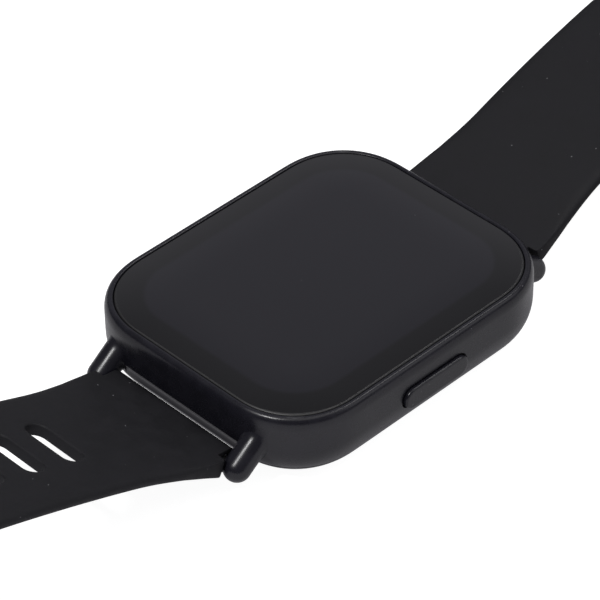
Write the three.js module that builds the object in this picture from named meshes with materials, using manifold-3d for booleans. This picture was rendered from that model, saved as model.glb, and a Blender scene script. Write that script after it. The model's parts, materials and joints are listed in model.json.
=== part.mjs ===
// A square smartwatch on a two-piece silicone strap, in millimetres, +Z up out of the display.
// The origin is the middle of the sensor window's flat, which the case rests on. +X is the side
// with the button and +Y is the twelve o'clock end. Each strap half arches up from its spring bar
// and comes down again, so the strap's tip and the buckle rest on the same surface as the case.
import * as THREE from 'three';
import { mergeVertices } from 'three/addons/utils/BufferGeometryUtils.js';
import Module from 'manifold-3d';

const wasm = await Module();
wasm.setup();

// ---- Driving dimensions -------------------------------------------------------------------
// The case outline is a rectangle with squircle corners: |x/r|^squareness + |y/r|^squareness = 1.
const CASE = { halfX: 20.2, halfY: 24.55, corner: 11.4, squareness: 2.2 };
const RIM_Z = 11.15;            // the rim round the glass
const WIDEST = { top: 9.45, bottom: 6.15 };  // the wall is upright between these heights
const RIM_INSET = 0.8;          // how far the shoulder leans in up to the rim
const BELLY = { inset: 3.0, height: 4.75 };  // the quarter ellipse from the wall to the back
const SEAM_Z = 2.85;            // where the case ends and the back cover starts
const BACK_Z = WIDEST.bottom - BELLY.height;  // the flat of the back cover
const WALL = 1.7;               // case wall
const LEDGE = { top: 10.0, bottom: 8.85, halfX: 17.2, halfY: 21.55, corner: 8.4 };
const GLASS = { inset: 1.4, bottom: 10.3, crown: 11.4 };
const LUG = { x: 12.3, radius: 1.8, length: 5.8, slope: 36.5 };
const HINGE = { y: 26.7, z: 3.98 };          // the spring bars' axes
const SCOOP_RADIUS = 2.6;       // hollow in the end walls that the strap ends turn in
const BAR = { tube: 0.85, bore: 0.55, tip: 0.42, half: 9.6, reach: 11.85, lugHole: 0.72 };
const COIL = { turns: 7, low: -6.7, high: 6.7, radius: 0.36, wire: 0.09 };
const LEVER = { slot: [6.3, 8.9], slotHalf: 0.75, window: [6.5, 8.7], windowHalf: 0.5, x: 8.2,
  radius: 0.35, reach: 2.7 };
const BUTTON = { y: -0.15, z: 6.3, length: 11.2, height: 3.0, face: 20.75, back: 19.65 };
const SENSOR = { bump: 13.2, window: 9.3, board: 9.9 };
const BATTERY = { x: -6.2, y: 4, width: 19.4, length: 26, bottom: 4.0, top: 7.9 };
const BOARD = { bottom: 5.6, top: 6.2 };
const MOTOR = { x: -12.5, z: 5.6, radius: 2.0, front: -10.6, back: -16.4 };
const CONTACT = { x: 3.0, y: -17.4, radius: 1.35 };

// Strap: each half is a centre line of arcs (length, degrees turned down), a thickness and a width.
const STRAP = { knuckle: 1.7, knuckleHalf: 10.2, shoulderStart: 2.35, shoulderEnd: 16,
  shoulderHalf: 11.9, bandHalf: 11.0, endHalf: 10.0, thickness: 1.7, bore: 1.1, linkGap: 0.3 };
const LOWER = { start: 22, arcs: [[16, 0], [24, 4.1], [78, 63.1]], length: 118,
  cuts: [22.9, 42.1, 67.7, 93.3] };
const UPPER = { start: 20.5, arcs: [[14, 0], [24, 7.2], [47, 54.5]], length: 85, cuts: [20, 38, 56] };
const SLOT = { first: 19.7, pitch: 6.4, count: 12, length: 9.0, opening: 3.0 };
const BUCKLE = { tilt: 21.5, inner: 10.7, outer: 12.7, bar: [8.4, 10.6], half: 1.1, eye: 1.9,
  pin: 0.6, hole: 0.85, tongueHalf: 4.0, tongueEye: 1.55, notch: 2.6 };
const KEEPER = { length: 4, wall: 1.3, halfX: 11.5, below: 0.5, above: 2.6 };
const FIXED_KEEPER_AT = 76;
const SLIDING_KEEPER_AT = 64;

// ---- Materials ----------------------------------------------------------------------------
const finish = (color, roughness, metalness = 0) =>
  new THREE.MeshStandardMaterial({ color, roughness, metalness });
const FINISH = {
  casePlastic: finish(0x26262a, 0.42),
  glass: finish(0x0e0f12, 0.12),
  silicone: finish(0x222226, 0.7),
  steel: finish(0x9a9ca0, 0.3, 1),
  darkSteel: finish(0x2b2c30, 0.35, 1),
  gold: finish(0xc9a24a, 0.3, 1),
  board: finish(0x14361f, 0.55),
  polyimide: finish(0xb5651d, 0.5),
  foil: finish(0xb9bcc0, 0.4, 0.6),
  foam: finish(0x101012, 0.9),
  chip: finish(0x18191b, 0.45),
  lens: finish(0xe8efe0, 0.2),
};

// ---- Tools --------------------------------------------------------------------------------
const radians = THREE.MathUtils.degToRad;

function solid(geometry) {
  const bare = geometry.clone();
  bare.deleteAttribute('normal');
  bare.deleteAttribute('uv');
  const merged = mergeVertices(bare, 1e-4);
  const index = merged.index.array;
  const corners = [];
  for (let i = 0; i < index.length; i += 3) {
    const [a, b, c] = [index[i], index[i + 1], index[i + 2]];
    if (a !== b && b !== c && c !== a) corners.push(a, b, c);
  }
  return new wasm.Manifold(new wasm.Mesh({
    numProp: 3,
    vertProperties: new Float32Array(merged.attributes.position.array),
    triVerts: new Uint32Array(corners),
  }));
}

function geometryOf(body) {
  const mesh = body.getMesh();
  const geometry = new THREE.BufferGeometry();
  geometry.setAttribute('position', new THREE.BufferAttribute(mesh.vertProperties, 3));
  geometry.setIndex(new THREE.BufferAttribute(mesh.triVerts, 1));
  geometry.computeVertexNormals();
  return geometry;
}

const cut = (body, ...tools) => tools.reduce((left, tool) => left.subtract(tool), body);
const join = (body, ...others) => others.reduce((sum, other) => sum.add(other), body);

function box(x, y, z) {
  const geometry = new THREE.BoxGeometry(x[1] - x[0], y[1] - y[0], z[1] - z[0]);
  return geometry.translate((x[0] + x[1]) / 2, (y[0] + y[1]) / 2, (z[0] + z[1]) / 2);
}

// An upright prism of an outline, from one height to another.
function prism(points, bottom, top) {
  const geometry = new THREE.ExtrudeGeometry(new THREE.Shape(points),
    { depth: top - bottom, bevelEnabled: false });
  return geometry.translate(0, 0, bottom);
}

// A side profile in (y, z), carried across X from low to high.
function across(points, low, high) {
  const geometry = new THREE.ExtrudeGeometry(new THREE.Shape(points),
    { depth: high - low, bevelEnabled: false });
  const turn = new THREE.Matrix4().makeBasis(new THREE.Vector3(0, 1, 0),
    new THREE.Vector3(0, 0, 1), new THREE.Vector3(1, 0, 0));
  return geometry.applyMatrix4(turn).translate(low, 0, 0);
}

function rodX(radius, low, high, y, z, sides = 16) {
  const geometry = new THREE.CylinderGeometry(radius, radius, high - low, sides);
  return geometry.rotateZ(Math.PI / 2).translate((low + high) / 2, y, z);
}

function rodY(radius, low, high, x, z, sides = 16) {
  const geometry = new THREE.CylinderGeometry(radius, radius, high - low, sides);
  return geometry.translate(x, (low + high) / 2, z);
}

function rodZ(radius, low, high, x = 0, y = 0, sides = 20) {
  const geometry = new THREE.CylinderGeometry(radius, radius, high - low, sides);
  return geometry.rotateX(Math.PI / 2).translate(x, y, (low + high) / 2);
}

// A rectangle with squircle corners, anticlockwise from the +X side.
function squircle(halfX, halfY, corner, steps = 6, power = CASE.squareness) {
  const points = [];
  for (let quarter = 0; quarter < 4; quarter += 1) {
    for (let step = 0; step <= steps; step += 1) {
      const angle = (quarter + step / steps) * Math.PI / 2;
      const [c, s] = [Math.cos(angle), Math.sin(angle)];
      const reachX = Math.sign(Math.round(c * 1e6)) * Math.abs(c) ** (2 / power);
      const reachY = Math.sign(Math.round(s * 1e6)) * Math.abs(s) ** (2 / power);
      const sideX = quarter === 0 || quarter === 3 ? 1 : -1;
      const sideY = quarter < 2 ? 1 : -1;
      points.push(new THREE.Vector2(
        sideX * (halfX - corner) + corner * reachX,
        sideY * (halfY - corner) + corner * reachY));
    }
  }
  return points;
}

const caseOutline = (inset, steps) =>
  squircle(CASE.halfX - inset, CASE.halfY - inset, CASE.corner - inset, steps);

// A closed body through level outlines from the bottom up, each {inset, z}, closed by flat ends.
function loft(levels, steps = 6) {
  const rings = levels.map(({ inset, z }) =>
    caseOutline(inset, steps).map((p) => [p.x, p.y, z]));
  const count = rings[0].length;
  const position = rings.flat(2);
  const index = [];
  for (let level = 0; level + 1 < rings.length; level += 1) {
    for (let i = 0; i < count; i += 1) {
      const next = (i + 1) % count;
      const [a, b] = [level * count + i, level * count + next];
      index.push(a, b, b + count, a, b + count, a + count);
    }
  }
  const base = position.length / 3;
  position.push(0, 0, levels[0].z, 0, 0, levels[levels.length - 1].z);
  const last = (rings.length - 1) * count;
  for (let i = 0; i < count; i += 1) {
    const next = (i + 1) % count;
    index.push(base, next, i, base + 1, last + i, last + next);
  }
  const geometry = new THREE.BufferGeometry();
  geometry.setAttribute('position', new THREE.Float32BufferAttribute(position, 3));
  geometry.setIndex(index);
  return geometry;
}

const bellyInset = (z) =>
  BELLY.inset * (1 - Math.sqrt(1 - ((WIDEST.bottom - z) / BELLY.height) ** 2));

// ---- Case ---------------------------------------------------------------------------------
function wallLevels() {
  const levels = [];
  for (const share of [0, 0.35, 0.7, 1]) {
    const z = SEAM_Z + share * (WIDEST.bottom - SEAM_Z);
    levels.push({ inset: bellyInset(z), z });
  }
  for (const share of [0, 0.3, 0.6, 0.85, 1]) {
    const angle = share * Math.PI / 2;
    levels.push({ inset: RIM_INSET * (1 - Math.cos(angle)),
      z: WIDEST.top + (RIM_Z - WIDEST.top) * Math.sin(angle) });
  }
  return levels;
}

function lug(sideX, sideY) {
  // The capsule's lower end is the lug's tip, leant out and down about the spring bar's axis.
  const geometry = new THREE.CapsuleGeometry(LUG.radius, LUG.length, 4, 14);
  geometry.translate(0, LUG.length / 2, 0);
  geometry.rotateX(radians(90 - LUG.slope));
  geometry.translate(sideX * LUG.x, -HINGE.y, HINGE.z);
  if (sideY > 0) geometry.rotateZ(Math.PI);
  return solid(geometry);
}

// A bar with round ends along Y, carried across X, about the button's middle.
function pill(length, height, low, high) {
  const radius = height / 2;
  const reach = length / 2 - radius;
  const points = [];
  for (const side of [1, -1]) {
    for (let step = 0; step <= 8; step += 1) {
      const angle = (step / 8 - 0.5) * Math.PI;
      points.push(new THREE.Vector2(side * (reach + radius * Math.cos(angle)),
        side * radius * Math.sin(angle)));
    }
  }
  return across(points, low, high).translate(0, BUTTON.y, BUTTON.z);
}

function caseFrame() {
  const lugs = [-1, 1].flatMap((x) => [-1, 1].map((y) => lug(x, y)));
  const scoops = [-1, 1].map((side) =>
    solid(rodX(SCOOP_RADIUS, -LUG.x + LUG.radius, LUG.x - LUG.radius, side * HINGE.y, HINGE.z, 28)));
  const barHoles = [-1, 1].flatMap((side) => [-1, 1].map((end) => {
    const [low, high] = [LUG.x - LUG.radius - 0.5, BAR.reach + 0.3];
    return solid(rodX(BAR.lugHole, end > 0 ? low : -high, end > 0 ? high : -low,
      side * HINGE.y, HINGE.z, 12));
  }));
  const inner = squircle(LEDGE.halfX, LEDGE.halfY, LEDGE.corner);
  return cut(
    join(solid(loft(wallLevels())), ...lugs),
    solid(prism(caseOutline(RIM_INSET + 0.35), LEDGE.top, RIM_Z + 1)),
    solid(prism(inner, LEDGE.bottom - 1, LEDGE.top + 1)),
    solid(prism(caseOutline(WALL), SEAM_Z - 3, LEDGE.bottom)),
    ...scoops,
    ...barHoles,
    solid(pill(BUTTON.length + 0.5, BUTTON.height + 0.5, BUTTON.back - 0.4, BUTTON.face + 2)),
    solid(rodX(1.35, 17, 21, BUTTON.y, BUTTON.z, 16)));
}

function coverGlass() {
  return loft([
    { inset: GLASS.inset, z: GLASS.bottom },
    { inset: GLASS.inset, z: RIM_Z - 0.2 },
    { inset: GLASS.inset + 0.2, z: RIM_Z - 0.02 },
    { inset: GLASS.inset + 1.1, z: RIM_Z + 0.1 },
    { inset: GLASS.inset + 3.5, z: GLASS.crown - 0.05 },
    { inset: GLASS.inset + 8, z: GLASS.crown }]);
}

function ring(outer, inner, bottom, top) {
  return cut(solid(prism(outer, bottom, top)), solid(prism(inner, bottom - 1, top + 1)));
}

const glassAdhesive = () => ring(caseOutline(GLASS.inset + 0.2),
  squircle(LEDGE.halfX + 0.1, LEDGE.halfY + 0.1, LEDGE.corner), LEDGE.top + 0.03, GLASS.bottom - 0.03);

const displayPanel = () => prism(squircle(16.8, 21.1, 8), GLASS.bottom - 0.9, GLASS.bottom - 0.1);

// The display's flex folds back under the panel and runs down to the board at the six o'clock end.
function displayFlex() {
  const centre = [[-17.0, 9.2], [-20.2, 9.2], [-20.2, 6.5], [-17.6, 6.5]];
  const thick = 0.2;
  const outline = [
    [centre[0][0], centre[0][1] + thick / 2], [centre[1][0] - thick / 2, centre[1][1] + thick / 2],
    [centre[2][0] - thick / 2, centre[2][1] - thick / 2], [centre[3][0], centre[3][1] - thick / 2],
    [centre[3][0], centre[3][1] + thick / 2], [centre[2][0] + thick / 2, centre[2][1] + thick / 2],
    [centre[1][0] + thick / 2, centre[1][1] - thick / 2], [centre[0][0], centre[0][1] - thick / 2]];
  return across(outline.map(([y, z]) => new THREE.Vector2(y, z)), -3, 3);
}

const SCREWS = [[11.5, 13.0], [8.0, -16.0]];

function displayBracket() {
  const bosses = SCREWS.map(([x, y]) => solid(rodZ(1.7, BOARD.top + 0.1, 8.4, x, y, 12)));
  const bores = SCREWS.map(([x, y]) => solid(rodZ(0.85, 5, 7.9, x, y, 12)));
  const slot = solid(box([-3.6, 3.6], [-23, -17.6], [7.5, 9.5]));
  return cut(join(solid(prism(caseOutline(WALL + 0.5), 8.15, 8.7)), ...bosses), slot, ...bores);
}

function mainBoard() {
  const outline = [[4.6, 20], [17.6, 20], [17.6, 5.6], [14.8, 5.6], [14.8, -5.9], [17.6, -5.9],
    [17.6, -20.5], [-8.5, -20.5], [-8.5, -10], [4.6, -10]].map(([x, y]) => new THREE.Vector2(x, y));
  const sheet = solid(prism(outline.reverse(), BOARD.bottom, BOARD.top));
  const room = solid(prism(caseOutline(WALL + 0.8), 0, 12));
  const holes = SCREWS.map(([x, y]) => solid(rodZ(0.85, 4, 8, x, y, 12)));
  return cut(sheet.intersect(room), ...holes);
}

const screw = ([x, y]) => join(
  solid(rodZ(1.4, BOARD.bottom - 0.65, BOARD.bottom - 0.05, x, y, 14)),
  solid(rodZ(0.55, BOARD.bottom - 0.3, 7.6, x, y, 10)));

const shieldCan = () => cut(
  solid(box([5.6, 14.4], [-9.4, -2.2], [BOARD.top + 0.05, 7.7])),
  solid(box([5.9, 14.1], [-9.1, -2.5], [BOARD.top - 1, 7.4])));

function batteryPack() {
  const outline = squircle(BATTERY.width / 2, BATTERY.length / 2, 1.6, 3, 2);
  return prism(outline, BATTERY.bottom, BATTERY.top).translate(BATTERY.x, BATTERY.y, 0);
}

// ---- Vibration motor ----------------------------------------------------------------------
const motorCase = () => cut(
  solid(rodY(MOTOR.radius, MOTOR.back, MOTOR.front, MOTOR.x, MOTOR.z, 20)),
  solid(rodY(0.65, MOTOR.back - 1, MOTOR.front - 1, MOTOR.x, MOTOR.z, 12)));

const motorShaft = () => rodY(0.35, MOTOR.back - 2.8, MOTOR.front - 1.4, MOTOR.x, MOTOR.z, 12);

function motorWeight() {
  const [low, high] = [MOTOR.back - 2.7, MOTOR.back - 0.5];
  const disc = solid(rodY(1.85, low, high, MOTOR.x, MOTOR.z, 24));
  const upper = solid(box([MOTOR.x - 3, MOTOR.x + 3], [low - 1, high + 1], [MOTOR.z + 0.75, 9]));
  return cut(disc, upper, solid(rodY(0.45, low - 1, high + 1, MOTOR.x, MOTOR.z, 12)));
}

// ---- Button -------------------------------------------------------------------------------
function sideButton() {
  const cap = join(solid(pill(BUTTON.length, BUTTON.height, BUTTON.back, BUTTON.face - 0.25)),
    solid(pill(BUTTON.length - 0.5, BUTTON.height - 0.5, BUTTON.back, BUTTON.face)));
  const stem = solid(rodX(0.95, 18.4, BUTTON.back + 0.2, BUTTON.y, BUTTON.z));
  const neck = solid(rodX(0.6, 17.9, 18.6, BUTTON.y, BUTTON.z));
  const head = solid(rodX(0.95, 17.55, 18.0, BUTTON.y, BUTTON.z));
  return join(cap, stem, neck, head);
}

function collar(inner, outer, low, high) {
  return cut(solid(rodX(outer, low, high, BUTTON.y, BUTTON.z)),
    solid(rodX(inner, low - 1, high + 1, BUTTON.y, BUTTON.z)));
}

const switchBody = () => cut(
  solid(box([15.4, 16.95], [BUTTON.y - 2.4, BUTTON.y + 2.4], [BUTTON.z - 1.4, BUTTON.z + 1.4])),
  solid(rodX(1.1, 15.85, 18, BUTTON.y, BUTTON.z)));

// ---- Back ---------------------------------------------------------------------------------
function backCover() {
  const levels = [{ inset: BELLY.inset, z: BACK_Z }];
  for (const share of [0.12, 0.35, 0.65, 1]) {
    const z = BACK_Z + share * (SEAM_Z - 0.05 - BACK_Z);
    levels.push({ inset: bellyInset(z), z });
  }
  const bump = new THREE.CylinderGeometry(SENSOR.bump, SENSOR.bump - 1.3, 1.7, 36);
  bump.rotateX(Math.PI / 2).translate(0, 0, 0.2 + 0.85);
  const floor = BACK_Z + 0.9;
  const contacts = [-1, 1].map((side) =>
    solid(rodZ(CONTACT.radius + 0.15, 0, 4, side * CONTACT.x, CONTACT.y, 16)));
  return cut(
    join(solid(loft(levels)), solid(bump), solid(prism(caseOutline(2.55), 2, 3.6))),
    solid(prism(caseOutline(3.35), floor, 5)),
    solid(rodZ(SENSOR.board + 0.4, 0.95, 5, 0, 0, 36)),
    solid(rodZ(SENSOR.window + 0.2, -1, 2, 0, 0, 36)),
    ...contacts);
}

function sensorWindow() {
  const r = SENSOR.window;
  const profile = [[0, 0], [r - 0.7, 0], [r - 0.25, 0.12], [r, 0.45], [r, 0.85], [0, 0.85]];
  const geometry = new THREE.LatheGeometry(profile.map(([x, y]) => new THREE.Vector2(x, y)), 36);
  return geometry.rotateX(Math.PI / 2);
}

const LEDS = [[-3.4, 0], [3.4, 0]];
const DIODES = [[0, -3.8], [0, 3.8]];

const sensorBaffle = () => cut(
  solid(rodZ(SENSOR.board - 0.2, 1.0, 1.75, 0, 0, 32)),
  ...[...LEDS, ...DIODES].map(([x, y]) =>
    solid(box([x - 1.6, x + 1.6], [y - 1.6, y + 1.6], [0, 3]))));

const sensorChip = ([x, y], half) => box([x - half, x + half], [y - half, y + half], [1.05, 1.78]);

// ---- Strap --------------------------------------------------------------------------------
// The centre line's point and slope at a distance along the strap from the spring bar's axis.
function along(half, distance) {
  let [y, z, slope, left] = [0, 0, radians(half.start), distance];
  for (const [length, turn] of half.arcs) {
    const run = Math.min(left, length);
    const bend = radians(turn) / length;
    if (bend === 0) {
      y += run * Math.cos(slope);
      z += run * Math.sin(slope);
    } else {
      const after = slope - bend * run;
      y += (Math.sin(slope) - Math.sin(after)) / bend;
      z += (Math.cos(after) - Math.cos(slope)) / bend;
      slope = after;
    }
    left -= run;
    if (left <= 0) break;
  }
  return { y, z, slope };
}

// A point at a distance along the strap and a height off its centre line.
function off(half, distance, height) {
  const { y, z, slope } = along(half, distance);
  return new THREE.Vector2(y - height * Math.sin(slope), z + height * Math.cos(slope));
}

function thicknessAt(distance) {
  const taper = Math.max(0, 1 - distance / 9);
  return STRAP.thickness + (2 * STRAP.knuckle - STRAP.thickness) * taper ** 3;
}

function halfWidthAt(half, distance) {
  const shoulder = Math.min(1, (distance - STRAP.shoulderStart) /
    (STRAP.shoulderEnd - STRAP.shoulderStart));
  const flare = (STRAP.shoulderHalf - STRAP.bandHalf) * (1 + Math.cos(Math.PI * shoulder)) / 2;
  const taper = Math.max(0, (distance - 40) / (half.length - 40));
  return STRAP.bandHalf + flare - (STRAP.bandHalf - STRAP.endHalf) * taper;
}

function stations(low, high) {
  const steps = Math.max(3, Math.ceil((high - low) / 4));
  return Array.from({ length: steps + 1 }, (_, i) => low + (high - low) * i / steps);
}

// The part of a strap half between two distances: its bent side profile, trimmed to its plan.
function bandBetween(half, low, high) {
  const marks = stations(low, high);
  const top = marks.map((s) => off(half, s, thicknessAt(s) / 2));
  const under = marks.map((s) => off(half, s, -thicknessAt(s) / 2));
  const slab = solid(across([...under, ...top.reverse()], -14, 14));
  const plan = marks.map((s) => new THREE.Vector2(halfWidthAt(half, s), along(half, s).y));
  plan[0].y -= 2;
  plan[plan.length - 1].y += 2;
  const mirrored = plan.map((p) => new THREE.Vector2(-p.x, p.y)).reverse();
  return slab.intersect(solid(prism([...plan, ...mirrored], -40, 60)));
}

function slotTool(half, distance) {
  const radius = SLOT.opening / 2;
  const shape = new THREE.Shape();
  shape.absarc(SLOT.length / 2 - radius, 0, radius, -Math.PI / 2, Math.PI / 2);
  shape.absarc(-SLOT.length / 2 + radius, 0, radius, Math.PI / 2, Math.PI * 1.5);
  const tool = new THREE.ExtrudeGeometry(shape, { depth: 6, bevelEnabled: false, curveSegments: 6 });
  const { y, z, slope } = along(half, distance);
  return solid(tool.translate(0, 0, -3).rotateX(slope).translate(0, y, z));
}

// The strap end that turns on the spring bar: a round knuckle, a narrow neck and a slot underneath
// that the release lever slides in.
function rootLink(half, high) {
  const neckTop = [0, 0.8, 1.6, STRAP.shoulderStart + 0.4].map((s) =>
    off(half, s, thicknessAt(s) / 2));
  const neckUnder = [0, 0.8, 1.6, STRAP.shoulderStart + 0.4].map((s) =>
    off(half, s, -thicknessAt(s) / 2));
  const neck = solid(across([...neckUnder, ...neckTop.reverse()],
    -STRAP.knuckleHalf, STRAP.knuckleHalf));
  const knuckle = solid(rodX(STRAP.knuckle, -STRAP.knuckleHalf, STRAP.knuckleHalf, 0, 0, 24));
  const lever = box(LEVER.slot, [-LEVER.slotHalf, LEVER.slotHalf], [-3, 0]).rotateX(radians(half.start));
  return cut(join(bandBetween(half, STRAP.shoulderStart, high), neck, knuckle),
    solid(rodX(STRAP.bore, -20, 20, 0, 0, 16)), solid(lever));
}

// The free end of the longer half is a flattened arc in plan.
function roundedTip(half) {
  const reach = 9;
  const middle = along(half, half.length - reach).y;
  const end = along(half, half.length).y - middle;
  const wide = halfWidthAt(half, half.length - reach) + 0.02;
  const points = [new THREE.Vector2(wide, -60), new THREE.Vector2(wide, 0)];
  for (let step = 1; step < 12; step += 1) {
    const angle = step * Math.PI / 12;
    points.push(new THREE.Vector2(wide * Math.cos(angle), end * Math.sin(angle) ** 0.8));
  }
  points.push(new THREE.Vector2(-wide, 0), new THREE.Vector2(-wide, -60));
  return solid(prism(points, -40, 60).translate(0, middle, 0));
}

// The end that holds the buckle pin: a knuckle with a notch in the middle for the tongue.
function buckleEnd(half, body) {
  const pin = along(half, half.length);
  const wide = halfWidthAt(half, half.length);
  const knuckle = solid(rodX(STRAP.knuckle, -wide, wide, pin.y, pin.z, 20));
  const notchHalf = BUCKLE.tongueHalf + 0.4;
  const notch = solid(rodX(BUCKLE.notch, -notchHalf, notchHalf, pin.y, pin.z, 20));
  return cut(join(body, knuckle), notch,
    solid(rodX(BUCKLE.hole, -20, 20, pin.y, pin.z, 16)));
}

function strapLinks(half, marks) {
  return marks.slice(1).map((high, i) => {
    const low = marks[i];
    const start = i === 0 ? 0 : low + STRAP.linkGap / 2;
    const stop = high === half.length ? high : high - STRAP.linkGap / 2;
    return i === 0 ? rootLink(half, stop) : bandBetween(half, start, stop);
  });
}

function lowerLinks() {
  const marks = [0, ...LOWER.cuts, LOWER.length];
  const slots = Array.from({ length: SLOT.count }, (_, i) => SLOT.first + i * SLOT.pitch);
  return strapLinks(LOWER, marks).map((link, i) => {
    const own = slots.filter((s) => s > marks[i] && s < marks[i + 1]);
    const punched = cut(link, ...own.map((s) => slotTool(LOWER, s)));
    return marks[i + 1] === LOWER.length ? punched.intersect(roundedTip(LOWER)) : punched;
  });
}

function upperLinks() {
  const marks = [0, ...UPPER.cuts, UPPER.length];
  return strapLinks(UPPER, marks).map((link, i) =>
    (marks[i + 1] === UPPER.length ? buckleEnd(UPPER, link) : link));
}

// ---- Spring bars --------------------------------------------------------------------------
const barTube = (half) => cut(
  solid(rodX(BAR.tube, -BAR.half, BAR.half, 0, 0, 14)),
  solid(rodX(BAR.bore, -20, 20, 0, 0, 12)),
  solid(box(LEVER.window, [-LEVER.windowHalf, LEVER.windowHalf], [-3, 0])
    .rotateX(radians(half.start))));

const fixedTip = () => rodX(BAR.tip, -BAR.reach, -7.0, 0, 0, 12);

const releaseTip = (half) => join(
  solid(rodX(BAR.tip, 7.0, BAR.reach, 0, 0, 12)),
  solid(rodZ(LEVER.radius, -LEVER.reach, 0, LEVER.x, 0, 10).rotateX(radians(half.start))));

function barSpring() {
  class Coil extends THREE.Curve {
    getPoint(t, target = new THREE.Vector3()) {
      const angle = t * COIL.turns * 2 * Math.PI;
      return target.set(COIL.low + t * (COIL.high - COIL.low),
        COIL.radius * Math.cos(angle), COIL.radius * Math.sin(angle));
    }
  }
  const wire = new THREE.Shape();
  wire.absarc(0, 0, COIL.wire, 0, Math.PI * 2);
  return new THREE.ExtrudeGeometry(wire,
    { extrudePath: new Coil(), steps: COIL.turns * 8, curveSegments: 2, bevelEnabled: false });
}

// ---- Buckle and keepers -------------------------------------------------------------------
// Made about the pin, with the frame reaching along +Y, then tilted by the caller.
function buckleFrame() {
  const { inner, outer, half, eye, bar, hole } = BUCKLE;
  const corner = 2.2;
  const plan = [[inner, 0], [outer, 0], [outer, bar[1] - corner], [outer - corner, bar[1]],
    [-outer + corner, bar[1]], [-outer, bar[1] - corner], [-outer, 0], [-inner, 0],
    [-inner, bar[0]], [inner, bar[0]]].map(([x, y]) => new THREE.Vector2(x, y));
  const eyes = [[inner, outer], [-outer, -inner]].map(([low, high]) =>
    solid(rodX(eye, low, high, 0, 0, 18)));
  return cut(join(solid(prism(plan, -half, half)), ...eyes), solid(rodX(hole, -20, 20, 0, 0, 14)));
}

const bucklePin = () => rodX(BUCKLE.pin, -BUCKLE.outer + 0.2, BUCKLE.outer - 0.2, 0, 0, 14);

function buckleTongue() {
  const { tongueHalf, tongueEye, half, bar, hole } = BUCKLE;
  const side = [[-0.6, -1.0], [0.9, -1.2], [2.2, half + 0.12], [bar[1] - 0.2, half + 0.12],
    [bar[1] - 0.2, half + 1.1], [1.4, half + 1.1], [-1.0, 1.3]];
  const blade = solid(across(side.map(([y, z]) => new THREE.Vector2(y, z)), -tongueHalf, tongueHalf));
  const eye = solid(rodX(tongueEye, -tongueHalf, tongueHalf, 0, 0, 18));
  return cut(join(blade, eye), solid(rodX(hole, -20, 20, 0, 0, 14)));
}

// A rectangular loop round the strap, standing off its outer face to take the other half.
function keeper(distance) {
  const { y, z, slope } = along(UPPER, distance);
  const [bottom, top] = [-STRAP.thickness / 2 - KEEPER.below, STRAP.thickness / 2 + KEEPER.above];
  const section = (halfX, low, high, corner) => {
    const outline = squircle(halfX, (high - low) / 2, corner, 3, 2);
    return outline.map((p) => new THREE.Vector2(p.x, p.y + (low + high) / 2));
  };
  const wall = KEEPER.wall;
  const outer = solid(prism(section(KEEPER.halfX + wall, bottom - wall, top + wall, 2.0),
    -KEEPER.length / 2, KEEPER.length / 2));
  const inner = solid(prism(section(KEEPER.halfX, bottom, top, 0.8), -9, 9));
  const loop = geometryOf(cut(outer, inner));
  // The section's second axis becomes the strap's outward face.
  return loop.rotateX(Math.PI / 2).rotateX(slope).translate(0, y, z);
}

// ---- Assembly -----------------------------------------------------------------------------
const watch = new THREE.Group();

function add(name, shape, material, parent = watch) {
  const geometry = shape.isBufferGeometry ? shape : geometryOf(shape);
  const mesh = new THREE.Mesh(geometry, material.clone());
  mesh.name = name;
  parent.add(mesh);
  return mesh;
}

add('case_frame', caseFrame(), FINISH.casePlastic);
add('cover_glass', coverGlass(), FINISH.glass);
add('glass_adhesive', glassAdhesive(), FINISH.foam);
add('display_panel', displayPanel(), FINISH.chip);
add('display_flex', displayFlex(), FINISH.polyimide);
add('display_bracket', displayBracket(), FINISH.foil);
add('main_board', mainBoard(), FINISH.board);
add('processor_chip', box([6.4, 14.0], [-1.4, 6.2], [BOARD.top + 0.05, 7.1]), FINISH.chip);
add('memory_chip', box([6.6, 11.6], [7.4, 11.0], [BOARD.top + 0.05, 7.0]), FINISH.chip);
add('shield_can', shieldCan(), FINISH.foil);
SCREWS.forEach((place, i) => add(`board_screw_${i + 1}`, screw(place), FINISH.steel));
add('battery', batteryPack(), FINISH.foil);
add('battery_flex', box([3.65, 9.5], [12.2, 14.8], [BOARD.top + 0.6, BOARD.top + 0.8]),
  FINISH.polyimide);
add('antenna_strip', box([-18.2, -17.9], [-9, 9], [4.0, 7.6]), FINISH.gold);

add('motor_case', motorCase(), FINISH.steel);
add('motor_shaft', motorShaft(), FINISH.steel);
add('motor_weight', motorWeight(), FINISH.darkSteel);

add('side_button', sideButton(), FINISH.casePlastic);
add('button_seal', collar(1.0, 1.3, 18.75, 19.15), FINISH.silicone);
add('button_clip', collar(0.68, 1.6, 18.08, 18.32), FINISH.steel);
add('switch_body', switchBody(), FINISH.chip);
add('switch_plunger', rodX(0.8, 16.35, 17.45, BUTTON.y, BUTTON.z, 14), FINISH.lens);
add('button_flex', box([15.05, 15.3], [-5.2, 4.9], [4.6, 8.0]), FINISH.polyimide);

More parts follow.
